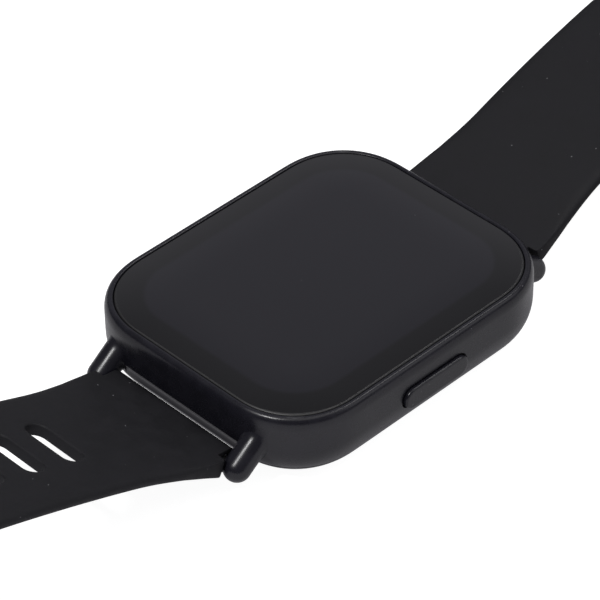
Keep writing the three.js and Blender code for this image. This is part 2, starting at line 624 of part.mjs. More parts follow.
add('back_cover', backCover(), FINISH.casePlastic);
add('back_gasket', ring(caseOutline(WALL + 0.06), caseOutline(2.49), 2.95, 3.45), FINISH.silicone);
add('sensor_window', sensorWindow(), FINISH.glass);
add('sensor_baffle', sensorBaffle(), FINISH.foam);
add('sensor_board', rodZ(SENSOR.board, 1.83, 2.4, 0, 0, 32), FINISH.board);
LEDS.forEach((place, i) => add(`green_led_${i + 1}`, sensorChip(place, 0.8), FINISH.lens));
DIODES.forEach((place, i) => add(`photodiode_${i + 1}`, sensorChip(place, 1.2), FINISH.chip));
[-1, 1].forEach((side, i) => {
  add(`charge_contact_${i + 1}`,
    rodZ(CONTACT.radius, BACK_Z - 0.05, 2.9, side * CONTACT.x, CONTACT.y, 18), FINISH.gold);
  add(`charge_magnet_${i + 1}`, rodZ(1.9, BACK_Z + 0.95, 3.5, side * 7.6, -17.2, 18), FINISH.steel);
});

// Both strap halves are made pointing to twelve o'clock, and the lower one is turned half round.
const ends = [['lower', LOWER, Math.PI, lowerLinks()], ['upper', UPPER, 0, upperLinks()]];
for (const [side, half, turn, links] of ends) {
  const end = new THREE.Group();
  end.rotation.z = turn;
  watch.add(end);
  const bar = new THREE.Group();
  bar.position.set(0, HINGE.y, HINGE.z);
  end.add(bar);
  links.forEach((link, i) => add(`${side}_strap_${i + 1}`, link, FINISH.silicone, bar));
  add(`${side}_bar_tube`, barTube(half), FINISH.steel, bar);
  add(`${side}_bar_spring`, barSpring(), FINISH.steel, bar);
  add(`${side}_bar_fixed_tip`, fixedTip(), FINISH.steel, bar);
  add(`${side}_bar_release_tip`, releaseTip(half), FINISH.steel, bar);
  if (side === 'upper') {
    const pin = along(half, half.length);
    const buckle = new THREE.Group();
    buckle.position.set(0, pin.y, pin.z);
    buckle.rotation.x = -radians(BUCKLE.tilt);
    bar.add(buckle);
    add('buckle_frame', buckleFrame(), FINISH.darkSteel, buckle);
    add('buckle_pin', bucklePin(), FINISH.steel, buckle);
    add('buckle_tongue', buckleTongue(), FINISH.darkSteel, buckle);
    add('fixed_keeper', keeper(FIXED_KEEPER_AT), FINISH.silicone, bar);
    add('sliding_keeper', keeper(SLIDING_KEEPER_AT), FINISH.silicone, bar);
  }
}

export default watch;
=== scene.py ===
"""A square smartwatch on a two-piece slotted silicone strap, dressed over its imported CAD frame."""
import json
import math

import bmesh
import bpy
import numpy as np
from mathutils import Matrix, Vector
from mathutils.geometry import delaunay_2d_cdt


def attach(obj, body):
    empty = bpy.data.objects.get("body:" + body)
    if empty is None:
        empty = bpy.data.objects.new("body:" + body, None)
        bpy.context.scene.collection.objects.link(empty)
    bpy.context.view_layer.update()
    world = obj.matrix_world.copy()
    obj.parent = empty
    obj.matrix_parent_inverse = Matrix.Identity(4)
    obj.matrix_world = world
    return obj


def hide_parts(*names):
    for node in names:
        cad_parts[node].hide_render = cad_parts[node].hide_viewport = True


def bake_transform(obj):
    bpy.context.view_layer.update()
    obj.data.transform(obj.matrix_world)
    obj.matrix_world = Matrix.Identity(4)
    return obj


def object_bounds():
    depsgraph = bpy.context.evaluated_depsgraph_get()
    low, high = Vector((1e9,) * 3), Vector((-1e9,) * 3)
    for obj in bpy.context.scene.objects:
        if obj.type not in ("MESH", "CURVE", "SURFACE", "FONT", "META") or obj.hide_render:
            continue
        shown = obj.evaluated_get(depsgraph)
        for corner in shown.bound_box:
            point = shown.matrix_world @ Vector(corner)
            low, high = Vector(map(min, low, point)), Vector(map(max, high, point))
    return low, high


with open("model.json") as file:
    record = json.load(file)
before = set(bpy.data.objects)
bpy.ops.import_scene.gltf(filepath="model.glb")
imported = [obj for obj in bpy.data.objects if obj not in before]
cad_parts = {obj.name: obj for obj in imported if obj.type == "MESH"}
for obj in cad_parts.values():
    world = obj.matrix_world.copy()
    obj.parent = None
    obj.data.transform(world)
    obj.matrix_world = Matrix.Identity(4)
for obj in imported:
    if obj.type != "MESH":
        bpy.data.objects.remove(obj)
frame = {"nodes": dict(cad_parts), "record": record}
CAD_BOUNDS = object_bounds()

bl_info = {
    "name": "Square smartwatch",
    "version": (1, 0, 0),
    "blender": (4, 5, 0),
    "location": "3D View > Sidebar > Watch",
    "description": "Builds the case, glass, strap and finishes of a square smartwatch",
    "category": "Object",
}

# ---- Sizes, in millimetres ------------------------------------------------------------------
MM = 0.001
CASE_HALF = (20.2, 24.55)
CASE_CORNER = 11.4
SQUARENESS = 2.2
RIM_Z = 11.15
SHOULDER_Z = 9.45
SHOULDER_INSET = 0.8
WALL_FOOT_Z = 6.15
BELLY_INSET, BELLY_HEIGHT = 3.0, 4.75
SEAM_Z = 2.85
BACK_Z = WALL_FOOT_Z - BELLY_HEIGHT
CAVITY_INSET = 1.7
LEDGE_INSET, LEDGE_TOP, LEDGE_BOTTOM = 3.0, 10.0, 8.85
GLASS_BOTTOM = 10.3
RIM_GAP = 0.09
HINGE_Y, HINGE_Z = 26.7, 3.98
LUG_X, LUG_RADIUS, LUG_SLOPE = 12.3, 1.8, math.radians(36.5)
SCOOP_RADIUS = 2.6
BAR_HOLE = (0.72, 10.0, 12.15)
BUTTON_Y, BUTTON_Z, BUTTON_BACK, BUTTON_FACE = -0.15, 6.3, 19.65, 20.75
BUTTON_LENGTH, BUTTON_HEIGHT = 11.2, 3.0
BUMP_RADIUS, LENS_HOLE = 13.6, 9.5
PAD_X, PAD_Y = 3.0, -17.4
KNUCKLE = 1.7
KNUCKLE_HALF = 10.4
SHOULDER_AT, SHOULDER_END, SHOULDER_HALF = 2.35, 16.0, 11.9
BAND_HALF, END_HALF, BAND_THICK = 11.0, 10.0, 1.7
TIP_LENGTH = 9.0
STRAPS = {
    "lower": {"side": -1, "start": 22, "arcs": ((16, 0), (24, 4.1), (78, 63.1)), "length": 118},
    "upper": {"side": 1, "start": 20.5, "arcs": ((14, 0), (24, 7.2), (47, 54.5)), "length": 85},
}
PIN_AT = STRAPS["upper"]["length"]
SLOTS = {"first": 19.7, "pitch": 6.4, "count": 12, "half": 4.5, "radius": 1.5, "edge": 0.3}
NOTCH_HALF, NOTCH_REACH, PIN_HOLE = 4.4, 2.6, 0.85
# Each strap piece: name, its two ends, the bodies it joins, where it starts and stops bending,
# and the CAD links that it stands for.
STRAP_PIECES = (
    ("lower", "lower_strap_root", -KNUCKLE, 35.7, "root", "band_2", 11.0, 35.7, (1, 2)),
    ("lower", "lower_strap_near", 35.7, 54.9, "band_2", "band_3", 35.7, 54.9, (3,)),
    ("lower", "lower_strap_middle", 54.9, 80.5, "band_3", "band_4", 54.9, 80.5, (4,)),
    ("lower", "lower_strap_tip", 80.5, 118.0, "band_4", "band_5", 80.5, 106.0, (5,)),
    ("upper", "upper_strap_root", -KNUCKLE, 29.0, "root", "band_2", 11.0, 29.0, (1, 2)),
    ("upper", "upper_strap_middle", 29.0, 47.0, "band_2", "band_3", 29.0, 47.0, (3,)),
    ("upper", "upper_strap_end", 47.0, 86.7, "band_3", "band_4", 47.0, 62.0, (4,)),
)
KEEPERS = (("fixed_keeper", "fixed_loop", 76, "upper_band_4"),
           ("sliding_keeper", "sliding_loop", 64, "keeper"))
BUCKLE_TILT = math.radians(21.5)
COIL = {"turns": 7.0, "half": 6.7, "radius": 0.36, "wire": 0.09}


# ---- Mesh tools -----------------------------------------------------------------------------
def add_object(name, points, faces, finish=None, tidy=True, angle=32):
    """An object from points in millimetres, its doubles merged and its faces turned outwards."""
    mesh = bpy.data.meshes.new(name)
    mesh.from_pydata([tuple(p) for p in np.asarray(points) * MM], [], faces)
    if tidy:
        shape = bmesh.new()
        shape.from_mesh(mesh)
        bmesh.ops.remove_doubles(shape, verts=shape.verts, dist=2e-6)
        bmesh.ops.dissolve_degenerate(shape, edges=shape.edges, dist=1e-7)
        bmesh.ops.recalc_face_normals(shape, faces=shape.faces)
        shape.to_mesh(mesh)
        shape.free()
    made = bpy.data.objects.new(name, mesh)
    bpy.context.scene.collection.objects.link(made)
    if finish:
        mesh.materials.append(finish)
    smooth(mesh, angle)
    return made


def smooth(mesh, angle):
    """Smooth shading that keeps edges sharper than the angle, in degrees."""
    mesh.shade_smooth()
    mesh.set_sharp_from_angle(angle=math.radians(angle))


def skin(grid, wrap_rows=False, caps=True):
    """Points and faces of a closed skin over rows of rings, each ring a closed loop."""
    rows, count = grid.shape[:2]
    faces = []
    for row in range(rows if wrap_rows else rows - 1):
        low, high = row * count, (row + 1) % rows * count
        for i in range(count):
            j = (i + 1) % count
            faces.append((low + i, low + j, high + j, high + i))
    if caps and not wrap_rows:
        faces.append(tuple(range(count))[::-1])
        faces.append(tuple((rows - 1) * count + i for i in range(count)))
    return grid.reshape(-1, 3), faces


def settle(made):
    """Makes the result of an object's modifiers its plain mesh."""
    graph = bpy.context.evaluated_depsgraph_get()
    mesh = bpy.data.meshes.new_from_object(made.evaluated_get(graph))
    before = made.data
    made.modifiers.clear()
    made.data = mesh
    mesh.name = made.name
    bpy.data.meshes.remove(before)
    return made


def combine(made, others, operation):
    """Joins the others to an object, or cuts them from it, and removes them."""
    kit = bpy.data.collections.new("tools")
    bpy.context.scene.collection.children.link(kit)
    for other in others:
        bpy.context.scene.collection.objects.unlink(other)
        kit.objects.link(other)
    change = made.modifiers.new("Combine", "BOOLEAN")
    change.operation = operation
    change.solver = "EXACT"
    change.operand_type = "COLLECTION"
    change.collection = kit
    settle(made)
    for other in others:
        bpy.data.meshes.remove(other.data)
    bpy.data.collections.remove(kit)
    if not made.data.polygons:
        raise RuntimeError(f"{made.name} was lost when it was combined")
    return made


def even_shading(made, angle=32):
    """Shades flats evenly where a cut left long faces beside them."""
    smooth(made.data, angle)
    change = made.modifiers.new("Even", "WEIGHTED_NORMAL")
    change.keep_sharp = True
    change.weight = 80
    return settle(made)


def drop_slivers(made, size=2e-6):
    """Merges the specks that a cut can leave, and turns every face outwards."""
    shape = bmesh.new()
    shape.from_mesh(made.data)
    bmesh.ops.remove_doubles(shape, verts=shape.verts, dist=size)
    bmesh.ops.dissolve_degenerate(shape, edges=shape.edges, dist=size / 10)
    bmesh.ops.recalc_face_normals(shape, faces=shape.faces)
    shape.to_mesh(made.data)
    shape.free()
    return made


def lathe(name, profile, axis, at, steps=48, finish=None):
    """A body turned about an axis through a point: the profile gives (radius, distance along)."""
    turn = np.linspace(0, 2 * math.pi, steps, endpoint=False)
    rings = []
    for radius, along in profile:
        ring = {
            "X": (np.full(steps, along), radius * np.cos(turn), radius * np.sin(turn)),
            "Z": (radius * np.cos(turn), radius * np.sin(turn), np.full(steps, along)),
        }[axis]
        rings.append(np.stack(ring, 1) + np.array(at))
    return add_object(name, *skin(np.array(rings)), finish=finish)


def rod(radius, low, high, y, z, steps=48):
    """A plain cutting rod along X."""
    return lathe("rod", ((radius, low), (radius, high)), "X", (0, y, z), steps)


def corner_points(half_x, half_y, corner, steps, power, run_x, run_y):
    """A rectangle with squircle corners, anticlockwise, its straight runs divided too."""
    points = []
    for quarter in range(4):
        sx, sy = ((1, 1), (-1, 1), (-1, -1), (1, -1))[quarter]
        for step in range(steps + 1):
            turn = (step if quarter % 2 == 0 else steps - step) / steps * math.pi / 2
            points.append((sx * (half_x - corner + corner * math.cos(turn) ** (2 / power)),
                           sy * (half_y - corner + corner * math.sin(turn) ** (2 / power))))
        last = points[-1]
        nxt = ((-sx, sy), (sx, -sy), (-sx, sy), (sx, -sy))[quarter]
        if quarter % 2 == 0:
            goal, runs = (nxt[0] * (half_x - corner), last[1]), run_x
        else:
            goal, runs = (last[0], nxt[1] * (half_y - corner)), run_y
        for k in range(1, runs):
            share = k / runs
            points.append((last[0] + (goal[0] - last[0]) * share,
                           last[1] + (goal[1] - last[1]) * share))
    return np.array(points)


def case_outline(inset, steps=22, run_x=16, run_y=24):
    """The case's plan outline, drawn in by an inset."""
    return corner_points(CASE_HALF[0] - inset, CASE_HALF[1] - inset, CASE_CORNER - inset,
                         steps, SQUARENESS, run_x, run_y)


def case_rings(levels, **kw):
    """Level outlines of the case, one for each (inset, height)."""
    rings = []
    for inset, z in levels:
        outline = case_outline(inset, **kw)
        rings.append(np.column_stack((outline, np.full(len(outline), z))))
    return np.array(rings)


def belly(z):
    """How far the case's rounded underside is drawn in at a height."""
    return BELLY_INSET * (1 - math.sqrt(max(0, 1 - ((WALL_FOOT_Z - z) / BELLY_HEIGHT) ** 2)))


def own(made, slot, *nodes, body=None):
    """Hides the CAD nodes that a finished piece stands for and hangs the piece on its body; the slot
    is not used.
    """
    if nodes:
        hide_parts(*nodes)
    if body:
        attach(made, body)
    return made


# ---- Case, glass, button and back -----------------------------------------------------------
def wall_y(x):
    """How far the case's end wall reaches at a distance across it."""
    over = max(0.0, (abs(x) - (CASE_HALF[0] - CASE_CORNER)) / CASE_CORNER)
    return CASE_HALF[1] - CASE_CORNER + CASE_CORNER * (1 - over ** SQUARENESS) ** (1 / SQUARENESS)


def make_lug(side_x, side_y):
    """A round stub with a domed tip, flared where it grows out of the end wall."""
    around = np.linspace(0, 2 * math.pi, 40, endpoint=False)
    inward = np.array((0, -math.cos(LUG_SLOPE), math.sin(LUG_SLOPE)))
    upward = np.array((0, math.sin(LUG_SLOPE), math.cos(LUG_SLOPE)))
    lines = []
    for turn in around:
        across, lift = math.cos(turn), math.sin(turn)
        meets = (HINGE_Y + LUG_RADIUS * lift * upward[1] - wall_y(LUG_X + LUG_RADIUS * across))
        meets /= math.cos(LUG_SLOPE)
        line = [(LUG_RADIUS * math.sin(a), -LUG_RADIUS * math.cos(a))
                for a in np.linspace(0, math.pi / 2, 12)]
        for share in np.linspace(0, 1, 16)[1:]:
            t = share * (meets + 0.9)
            flare = max(0.0, (t - (meets - 0.55)) / 0.7)
            line.append((LUG_RADIUS + 0.16 * min(1.0, flare) ** 2, t))
        lines.append([np.array((LUG_X + r * across, HINGE_Y, HINGE_Z))
                      + r * lift * upward + t * inward for r, t in line])
    grid = np.array(lines).transpose(1, 0, 2)
    grid[..., 0] *= side_x
    grid[..., 1] *= side_y
    return add_object("lug", *skin(grid))


def pill_rings(levels, steps=20, runs=10):
    """Rings of the button's outline, a bar with round ends, for each (growth, x)."""
    rings = []
    for growth, x in levels:
        radius = BUTTON_HEIGHT / 2 + growth
        reach = (BUTTON_LENGTH - BUTTON_HEIGHT) / 2
        ring = []
        for side in (1, -1):
            for step in range(steps + 1):
                turn = (step / steps - 0.5) * math.pi
                ring.append((x, BUTTON_Y + side * (reach + radius * math.cos(turn)),
                             BUTTON_Z + side * radius * math.sin(turn)))
            for k in range(1, runs):
                ring.append((x, BUTTON_Y + side * reach * (1 - 2 * k / runs),
                             BUTTON_Z + side * radius))
        rings.append(ring)
    return np.array(rings)


def make_case(finish):
    """The case: belly, upright wall, rolled shoulder, rim lip, ledge and cavity in one section."""
    section = [(belly(z), z) for z in np.linspace(SEAM_Z + 0.08, WALL_FOOT_Z, 12)]
    section = [(belly(SEAM_Z) + 0.12, SEAM_Z)] + section
    section += [(0, z) for z in (7.0, 7.8, 8.6)]
    section += [(SHOULDER_INSET * (1 - math.cos(a)),
                 SHOULDER_Z + (RIM_Z - SHOULDER_Z) * math.sin(a))
                for a in np.linspace(0, math.pi / 2, 14)]
    section += [(0.93, RIM_Z), (1.03, RIM_Z - 0.025), (1.11, RIM_Z - 0.09), (1.15, RIM_Z - 0.2),
                (1.15, LEDGE_TOP), (LEDGE_INSET, LEDGE_TOP), (LEDGE_INSET, LEDGE_BOTTOM),
                (CAVITY_INSET, LEDGE_BOTTOM), (CAVITY_INSET, SEAM_Z)]
    case = add_object("case_shell", *skin(case_rings(section), wrap_rows=True), finish=finish)
    combine(case, [make_lug(x, y) for x in (-1, 1) for y in (-1, 1)], "UNION")
    inner = LUG_X - LUG_RADIUS
    cutters = [rod(SCOOP_RADIUS, -inner, inner, side * HINGE_Y, HINGE_Z, 96) for side in (-1, 1)]
    radius, low, high = BAR_HOLE
    for side in (-1, 1):
        cutters.append(rod(radius, low, high, side * HINGE_Y, HINGE_Z, 24))
        cutters.append(rod(radius, -high, -low, side * HINGE_Y, HINGE_Z, 24))
    recess = [(0.12, 19.25), (0.12, 19.92), (0.13, 20.0), (0.17, 20.09), (0.24, 20.17), (0.3, 20.5)]
    cutters.append(add_object("recess", *skin(pill_rings(recess))))
    cutters.append(rod(1.35, 17.0, 19.6, BUTTON_Y, BUTTON_Z, 32))
    combine(case, cutters, "DIFFERENCE")
    drop_slivers(case)
    even_shading(case, 30)
    return own(case, "case_plastic", "case_frame", body="case")


def make_glass(finish):
    """The cover glass: an upright edge, a small round and a very shallow dome."""
    edge = RIM_GAP + 1.15
    levels = [(edge + 0.06, GLASS_BOTTOM), (edge, GLASS_BOTTOM + 0.06), (edge, 10.6), (edge, 10.9)]
    levels += [(edge + 0.26 * (1 - math.cos(a)), 10.9 + 0.23 * math.sin(a))
               for a in np.linspace(0.15, math.pi / 2 - 0.12, 8)]
    levels += [(edge + 0.27 + 8.2 * u, 11.13 + 0.27 * (1 - (1 - u) ** 2.4))
               for u in (0.02, 0.06, 0.12, 0.2, 0.3, 0.42, 0.56, 0.72, 0.88, 1.0)]
    glass = add_object("cover_lens", *skin(case_rings(levels)), finish=finish, angle=50)
    return own(glass, "dark_glass", "cover_glass", body="case")


def make_button(finish):
    """The flat side button with its soft edge, stem, neck and head."""
    edge = [(-0.26 * (1 - math.cos(a)), BUTTON_FACE - 0.26 * (1 - math.sin(a)))
            for a in np.linspace(0, math.pi / 2, 8)]
    levels = [(0, BUTTON_BACK), (0, 20.2)] + edge + [(-0.5, BUTTON_FACE + 0.004)]
    cap = add_object("button_cap", *skin(pill_rings(levels)), finish=finish)
    stem = lathe("stem", ((0.95, 19.9), (0.95, 18.4), (0.6, 18.4), (0.6, 18.0), (0.95, 18.0),
                          (0.95, 17.65), (0.85, 17.55)), "X", (0, BUTTON_Y, BUTTON_Z), 32)
    combine(cap, [stem], "UNION")
    even_shading(drop_slivers(cap))
    return own(cap, "case_plastic", "side_button", body="button")


def make_back(finish):
    """The back cover with its round sensor bump, the lens's well and the charging pads' holes."""
    top = SEAM_Z - 0.05
    levels = [(belly(z), z) for z in BACK_Z + (top - 0.08 - BACK_Z) * np.linspace(0, 1, 12) ** 1.6]
    levels.append((belly(top) + 0.12, top))
    back = add_object("back_shell", *skin(case_rings(levels)), finish=finish)
    bump = [(0.01, 2.2), (BUMP_RADIUS, 2.2), (BUMP_RADIUS, BACK_Z + 0.02)]
    bump += [(BUMP_RADIUS - 0.9 * math.sin(a), BACK_Z + 0.02 - 0.35 * (1 - math.cos(a)))
             for a in np.linspace(0.2, 1.3, 6)]
    bump += [(12.45, 0.75), (12.15, 0.45), (11.8, 0.27), (11.4, 0.2), (9.75, 0.2), (9.6, 0.24)]
    bump += [(LENS_HOLE, 0.35), (LENS_HOLE, 2.2), (9.4, 2.25), (0.01, 2.25)]
    foot = lathe("bump", bump, "Z", (0, 0, 0), 128)
    lip = add_object("lip", *skin(case_rings([(2.55, 2.0), (2.55, 3.6)])))
    combine(back, [foot, lip], "UNION")
    cutters = [add_object("room", *skin(case_rings([(3.35, BACK_Z + 0.9), (3.35, 5.0)])))]
    cutters.append(lathe("well", ((10.3, 0.95), (10.3, 5.0)), "Z", (0, 0, 0), 96))
    cutters.append(lathe("window", ((LENS_HOLE, -1.0), (LENS_HOLE, 2.0)), "Z", (0, 0, 0), 96))
    for side in (-1, 1):
        cutters.append(lathe("pad", ((1.62, 0), (1.5, BACK_Z + 0.12), (1.5, 4.0)), "Z",
                             (side * PAD_X, PAD_Y, 0), 32))
    combine(back, cutters, "DIFFERENCE")
    even_shading(drop_slivers(back))
    return own(back, "case_plastic", "back_cover", body="case")


def make_sensor_lens(finish):
    """The sensor's round lens, its edge rolled towards the skin."""
    profile = [(0.01, 0), (8.4, 0), (8.75, 0.03), (9.0, 0.11), (9.18, 0.25), (9.3, 0.5),
               (9.3, 0.85), (0.01, 0.85)]
    lens = lathe("sensor_lens", profile, "Z", (0, 0, 0), 96, finish)
    return own(lens, "dark_glass", "sensor_window", body="case")


# ---- Strap ----------------------------------------------------------------------------------
def centre(strap, distance):
    """Height over the bar and reach from it of the centre line, and its slope, at a distance."""
    slope = math.radians(strap["start"])
    y = z = 0.0
    left = distance
    for length, turn in strap["arcs"]:
        run = min(left, length) if left > 0 else left
        bend = math.radians(turn) / length
        if bend == 0 or run < 0:
            y += run * math.cos(slope)
            z += run * math.sin(slope)
        else:
            after = slope - bend * run
            y += (math.sin(slope) - math.sin(after)) / bend
            z += (math.cos(after) - math.cos(slope)) / bend
            slope = after
        left -= run
        if left <= 0:
            return y, z, slope
    return y + left * math.cos(slope), z + left * math.sin(slope), slope


def strap_point(strap, distance):
    """A point of the centre line in the part's frame, in metres."""
    y, z, _ = centre(strap, distance)
    return Vector((0, strap["side"] * (HINGE_Y + y), HINGE_Z + z)) * MM


def half_thickness(name, s):
    """Half the strap's thickness along it: round at the bar, thinning to the band."""
    s = np.asarray(s, float)
    body = (BAND_THICK + (2 * KNUCKLE - BAND_THICK) * np.clip(1 - s / 9, 0, 1) ** 3) / 2
    body = np.where(s < 0, np.sqrt(np.clip(KNUCKLE ** 2 - s ** 2, 0, None)), body)
    if name == "upper":
        pin = np.sqrt(np.clip(KNUCKLE ** 2 - (s - PIN_AT) ** 2, 0, None))
        band = np.where(s < PIN_AT, body, 0)
        body = np.where(s > PIN_AT - 5, (band ** 6 + pin ** 6) ** (1 / 6), body)
    return body


def half_width(name, s):
    """Half the strap's width along it: wide at the shoulders, easing to its far end."""
    shoulder = min(1.0, max(0.0, (s - SHOULDER_AT) / (SHOULDER_END - SHOULDER_AT)))
    flare = (SHOULDER_HALF - BAND_HALF) * (1 + math.cos(math.pi * shoulder)) / 2
    taper = min(1.0, max(0.0, (s - 40) / (STRAPS[name]["length"] - 40)))
    return BAND_HALF + flare - (BAND_HALF - END_HALF) * taper


def roll_width(name, s):
    """How wide the rolled edge is: narrow beside the bar and the pin, wide along the band."""
    width = np.interp(s, (0, 2.4, 5, 12), (0.14, 0.17, 0.6, 1.55))
    if name == "upper":
        width = np.minimum(width, np.interp(s, (79, 83), (1.55, 0.45)))
    return width


def roll_power(name, s):
    """How square the rolled edge is: nearly square beside the bar and the pin."""
    power = np.interp(s, (2.3, 8), (5.0, 2.3))
    if name == "upper":
        power = np.maximum(power, np.interp(s, (80, 83), (2.3, 5.0)))
    return power


def side_line(name, low, high):
    """One long edge of a strap piece in plan, from its low end to its high end."""
    line = []
    if low < 0:
        line += [(KNUCKLE_HALF, low * math.cos(t)) for t in np.linspace(0, math.pi / 2, 9)[:-1]]
        line += [(KNUCKLE_HALF, s) for s in (0.0, 0.6, 1.2, 1.6)]
        line += [(KNUCKLE_HALF + 0.03, 1.82), (KNUCKLE_HALF + 0.1, 1.87), (10.7, 1.88),
                 (11.15, 1.89), (11.55, 1.93), (11.75, 2.03), (11.85, 2.25), (11.89, 2.65),
                 (SHOULDER_HALF, 3.3)]
        low = 4.0
    stop = high
    if high == STRAPS["lower"]["length"]:
        stop = high - TIP_LENGTH
    elif high > STRAPS["upper"]["length"] and name == "upper":
        stop = PIN_AT - KNUCKLE
    count = max(2, round(stop - low))
    line += [(half_width(name, s), s) for s in np.linspace(low, stop, count + 1)]
    if high == STRAPS["lower"]["length"]:
        wide = half_width(name, stop)
        line += [(wide * math.cos(t), stop + TIP_LENGTH * math.sin(t) ** 0.8)
                 for t in np.linspace(0, math.pi / 2, 25)[1:]]
    elif stop < high:
        rolled = [PIN_AT + KNUCKLE * math.sin(t) for t in np.linspace(-1.2, math.pi / 2, 14)]
        line += [(END_HALF, s) for s in rolled]
        line += [(x, high) for x in (9.0, 7.8, 6.6, 5.5)]
        line += [(NOTCH_HALF, s) for s in rolled[::-1]]
        back = PIN_AT - NOTCH_REACH
        line += [(NOTCH_HALF, back + 0.5), (NOTCH_HALF - 0.07, back + 0.25),
                 (NOTCH_HALF - 0.25, back + 0.07), (NOTCH_HALF - 0.5, back)]
        line += [(x, back) for x in (3.0, 2.0, 1.0, 0.0)]
    return np.array(line)


def slot_loop(at, growth, steps=14, runs=6):
    """The outline of a slot at a distance along the strap, grown outwards."""
    reach, radius = SLOTS["half"] - SLOTS["radius"], SLOTS["radius"] + growth
    loop = []
    for side in (1, -1):
        loop += [(side * (reach + radius * math.cos(t)), at + side * radius * math.sin(t))
                 for t in np.linspace(-math.pi / 2, math.pi / 2, steps + 1)]
        loop += [(side * reach * (1 - 2 * k / runs), at + side * radius) for k in range(1, runs)]
    return np.array(loop)


def slot_distance(x, s, at):
    """Distance from a slot's outline, below zero inside it."""
    over = np.clip(np.abs(x) - (SLOTS["half"] - SLOTS["radius"]), 0, None)
    return np.hypot(over, s - at) - SLOTS["radius"]


def edge_distance(points, lines):
    """Distance from each point to the nearest of some polylines."""
    best = np.full(len(points), 1e9)
    for line in lines:
        for a, b in zip(line[:-1], line[1:]):
            ab = b - a
            span = ab @ ab
            if span < 1e-12:
                continue
            share = np.clip((points - a) @ ab / span, 0, 1)
            best = np.minimum(best, np.linalg.norm(points - a - share[:, None] * ab, axis=1))
    return best


def inside_loop(points, loop):
    """Which of the points lie inside a closed outline."""
    inside = np.zeros(len(points), bool)
    for (ax, ay), (bx, by) in zip(loop, np.roll(loop, -1, 0)):
        crosses = (ay > points[:, 1]) != (by > points[:, 1])
        if ay != by:
            inside ^= crosses & (points[:, 0] < (bx - ax) * (points[:, 1] - ay) / (by - ay) + ax)
    return inside


def strap_plan(name, low, high, slots):
    """The flat plan of a strap piece as points and triangles."""
    right = side_line(name, low, high)
    left = right[::-1] * (-1, 1)
    closed_tip = abs(right[-1][0]) < 1e-9
    edge_rows = np.array((0.03, 0.1, 0.22, 0.4, 0.66, 1.0))

    def cross_row(s):
        wide = KNUCKLE_HALF if s < 0 else half_width(name, s)
        near = wide - edge_rows * float(roll_width(name, s))
        inner = np.arange(-8, 8.1, 1.6)
        return np.array([(x, s) for x in (*-near, *inner, *near[::-1])])

    start_row, end_row = cross_row(low), cross_row(high)
    outline = [right] + ([] if closed_tip else [end_row[::-1]]) + [left[1:] if closed_tip else left]
    outline = np.concatenate(outline + [start_row])
    free = [right, left]
    tangents = np.gradient(right, axis=0)
    normals = np.column_stack((-tangents[:, 1], tangents[:, 0]))
    normals /= np.linalg.norm(normals, axis=1)[:, None]
    widths = roll_width(name, right[:, 1])
    rows = [right + normals * (widths * share)[:, None] for share in edge_rows]
    offsets = [widths * share for share in edge_rows]
    fill = np.concatenate(rows)
    need = np.concatenate(offsets) * 0.93
    fill = np.concatenate((fill, fill * (-1, 1)))
    need = np.concatenate((need, need))
    ends = [s for s in (low, high) if 0 < s < STRAPS[name]["length"]]
    stations = [s for s in np.arange(math.ceil(max(low, 0)), high)
                if all(abs(s - e) > 0.4 for e in ends)]
    if low < 0:
        stations += [low * math.cos(t) for t in np.linspace(0, math.pi / 2, 9)[1:-1]]
        stations += [0.5, 1.5, 2.5]
    if name == "upper" and high > PIN_AT:
        stations += [PIN_AT + KNUCKLE * math.sin(t) for t in np.linspace(-1.2, 1.45, 12)]
    grid = np.array([(x, s) for s in stations for x in np.arange(-9.6, 9.7, 1.6)])
    fill = np.concatenate((fill, grid))
    need = np.concatenate((need, roll_width(name, grid[:, 1]) * 1.08))
    keep = inside_loop(fill, outline) & (edge_distance(fill, free) >= need)
    for s in ends:
        keep &= np.abs(fill[:, 1] - s) > 0.3
    for at in slots:
        keep &= slot_distance(fill[:, 0], fill[:, 1], at) > SLOTS["edge"] + 0.35
    fill = fill[keep]
    points = [outline]
    edges = [(i, (i + 1) % len(outline)) for i in range(len(outline))]
    count = len(outline)
    for at in slots:
        for growth in (0, 0.03, 0.1, 0.19, SLOTS["edge"]):
            loop = slot_loop(at, growth)
            points.append(loop)
            edges += [(count + i, count + (i + 1) % len(loop)) for i in range(len(loop))]
            count += len(loop)
    points = np.concatenate(points + [fill])
    flat = [Vector((float(x), float(y))) for x, y in points]
    verts, _, faces, *_ = delaunay_2d_cdt(flat, edges, [], 0, 1e-5)
    verts = np.array([(v.x, v.y) for v in verts])
    faces = np.array([f for f in faces if len(f) == 3])
    middle = verts[faces].mean(1)
    keep = inside_loop(middle, outline)
    for at in slots:
        keep &= slot_distance(middle[:, 0], middle[:, 1], at) > 0
    return verts, faces[keep], free


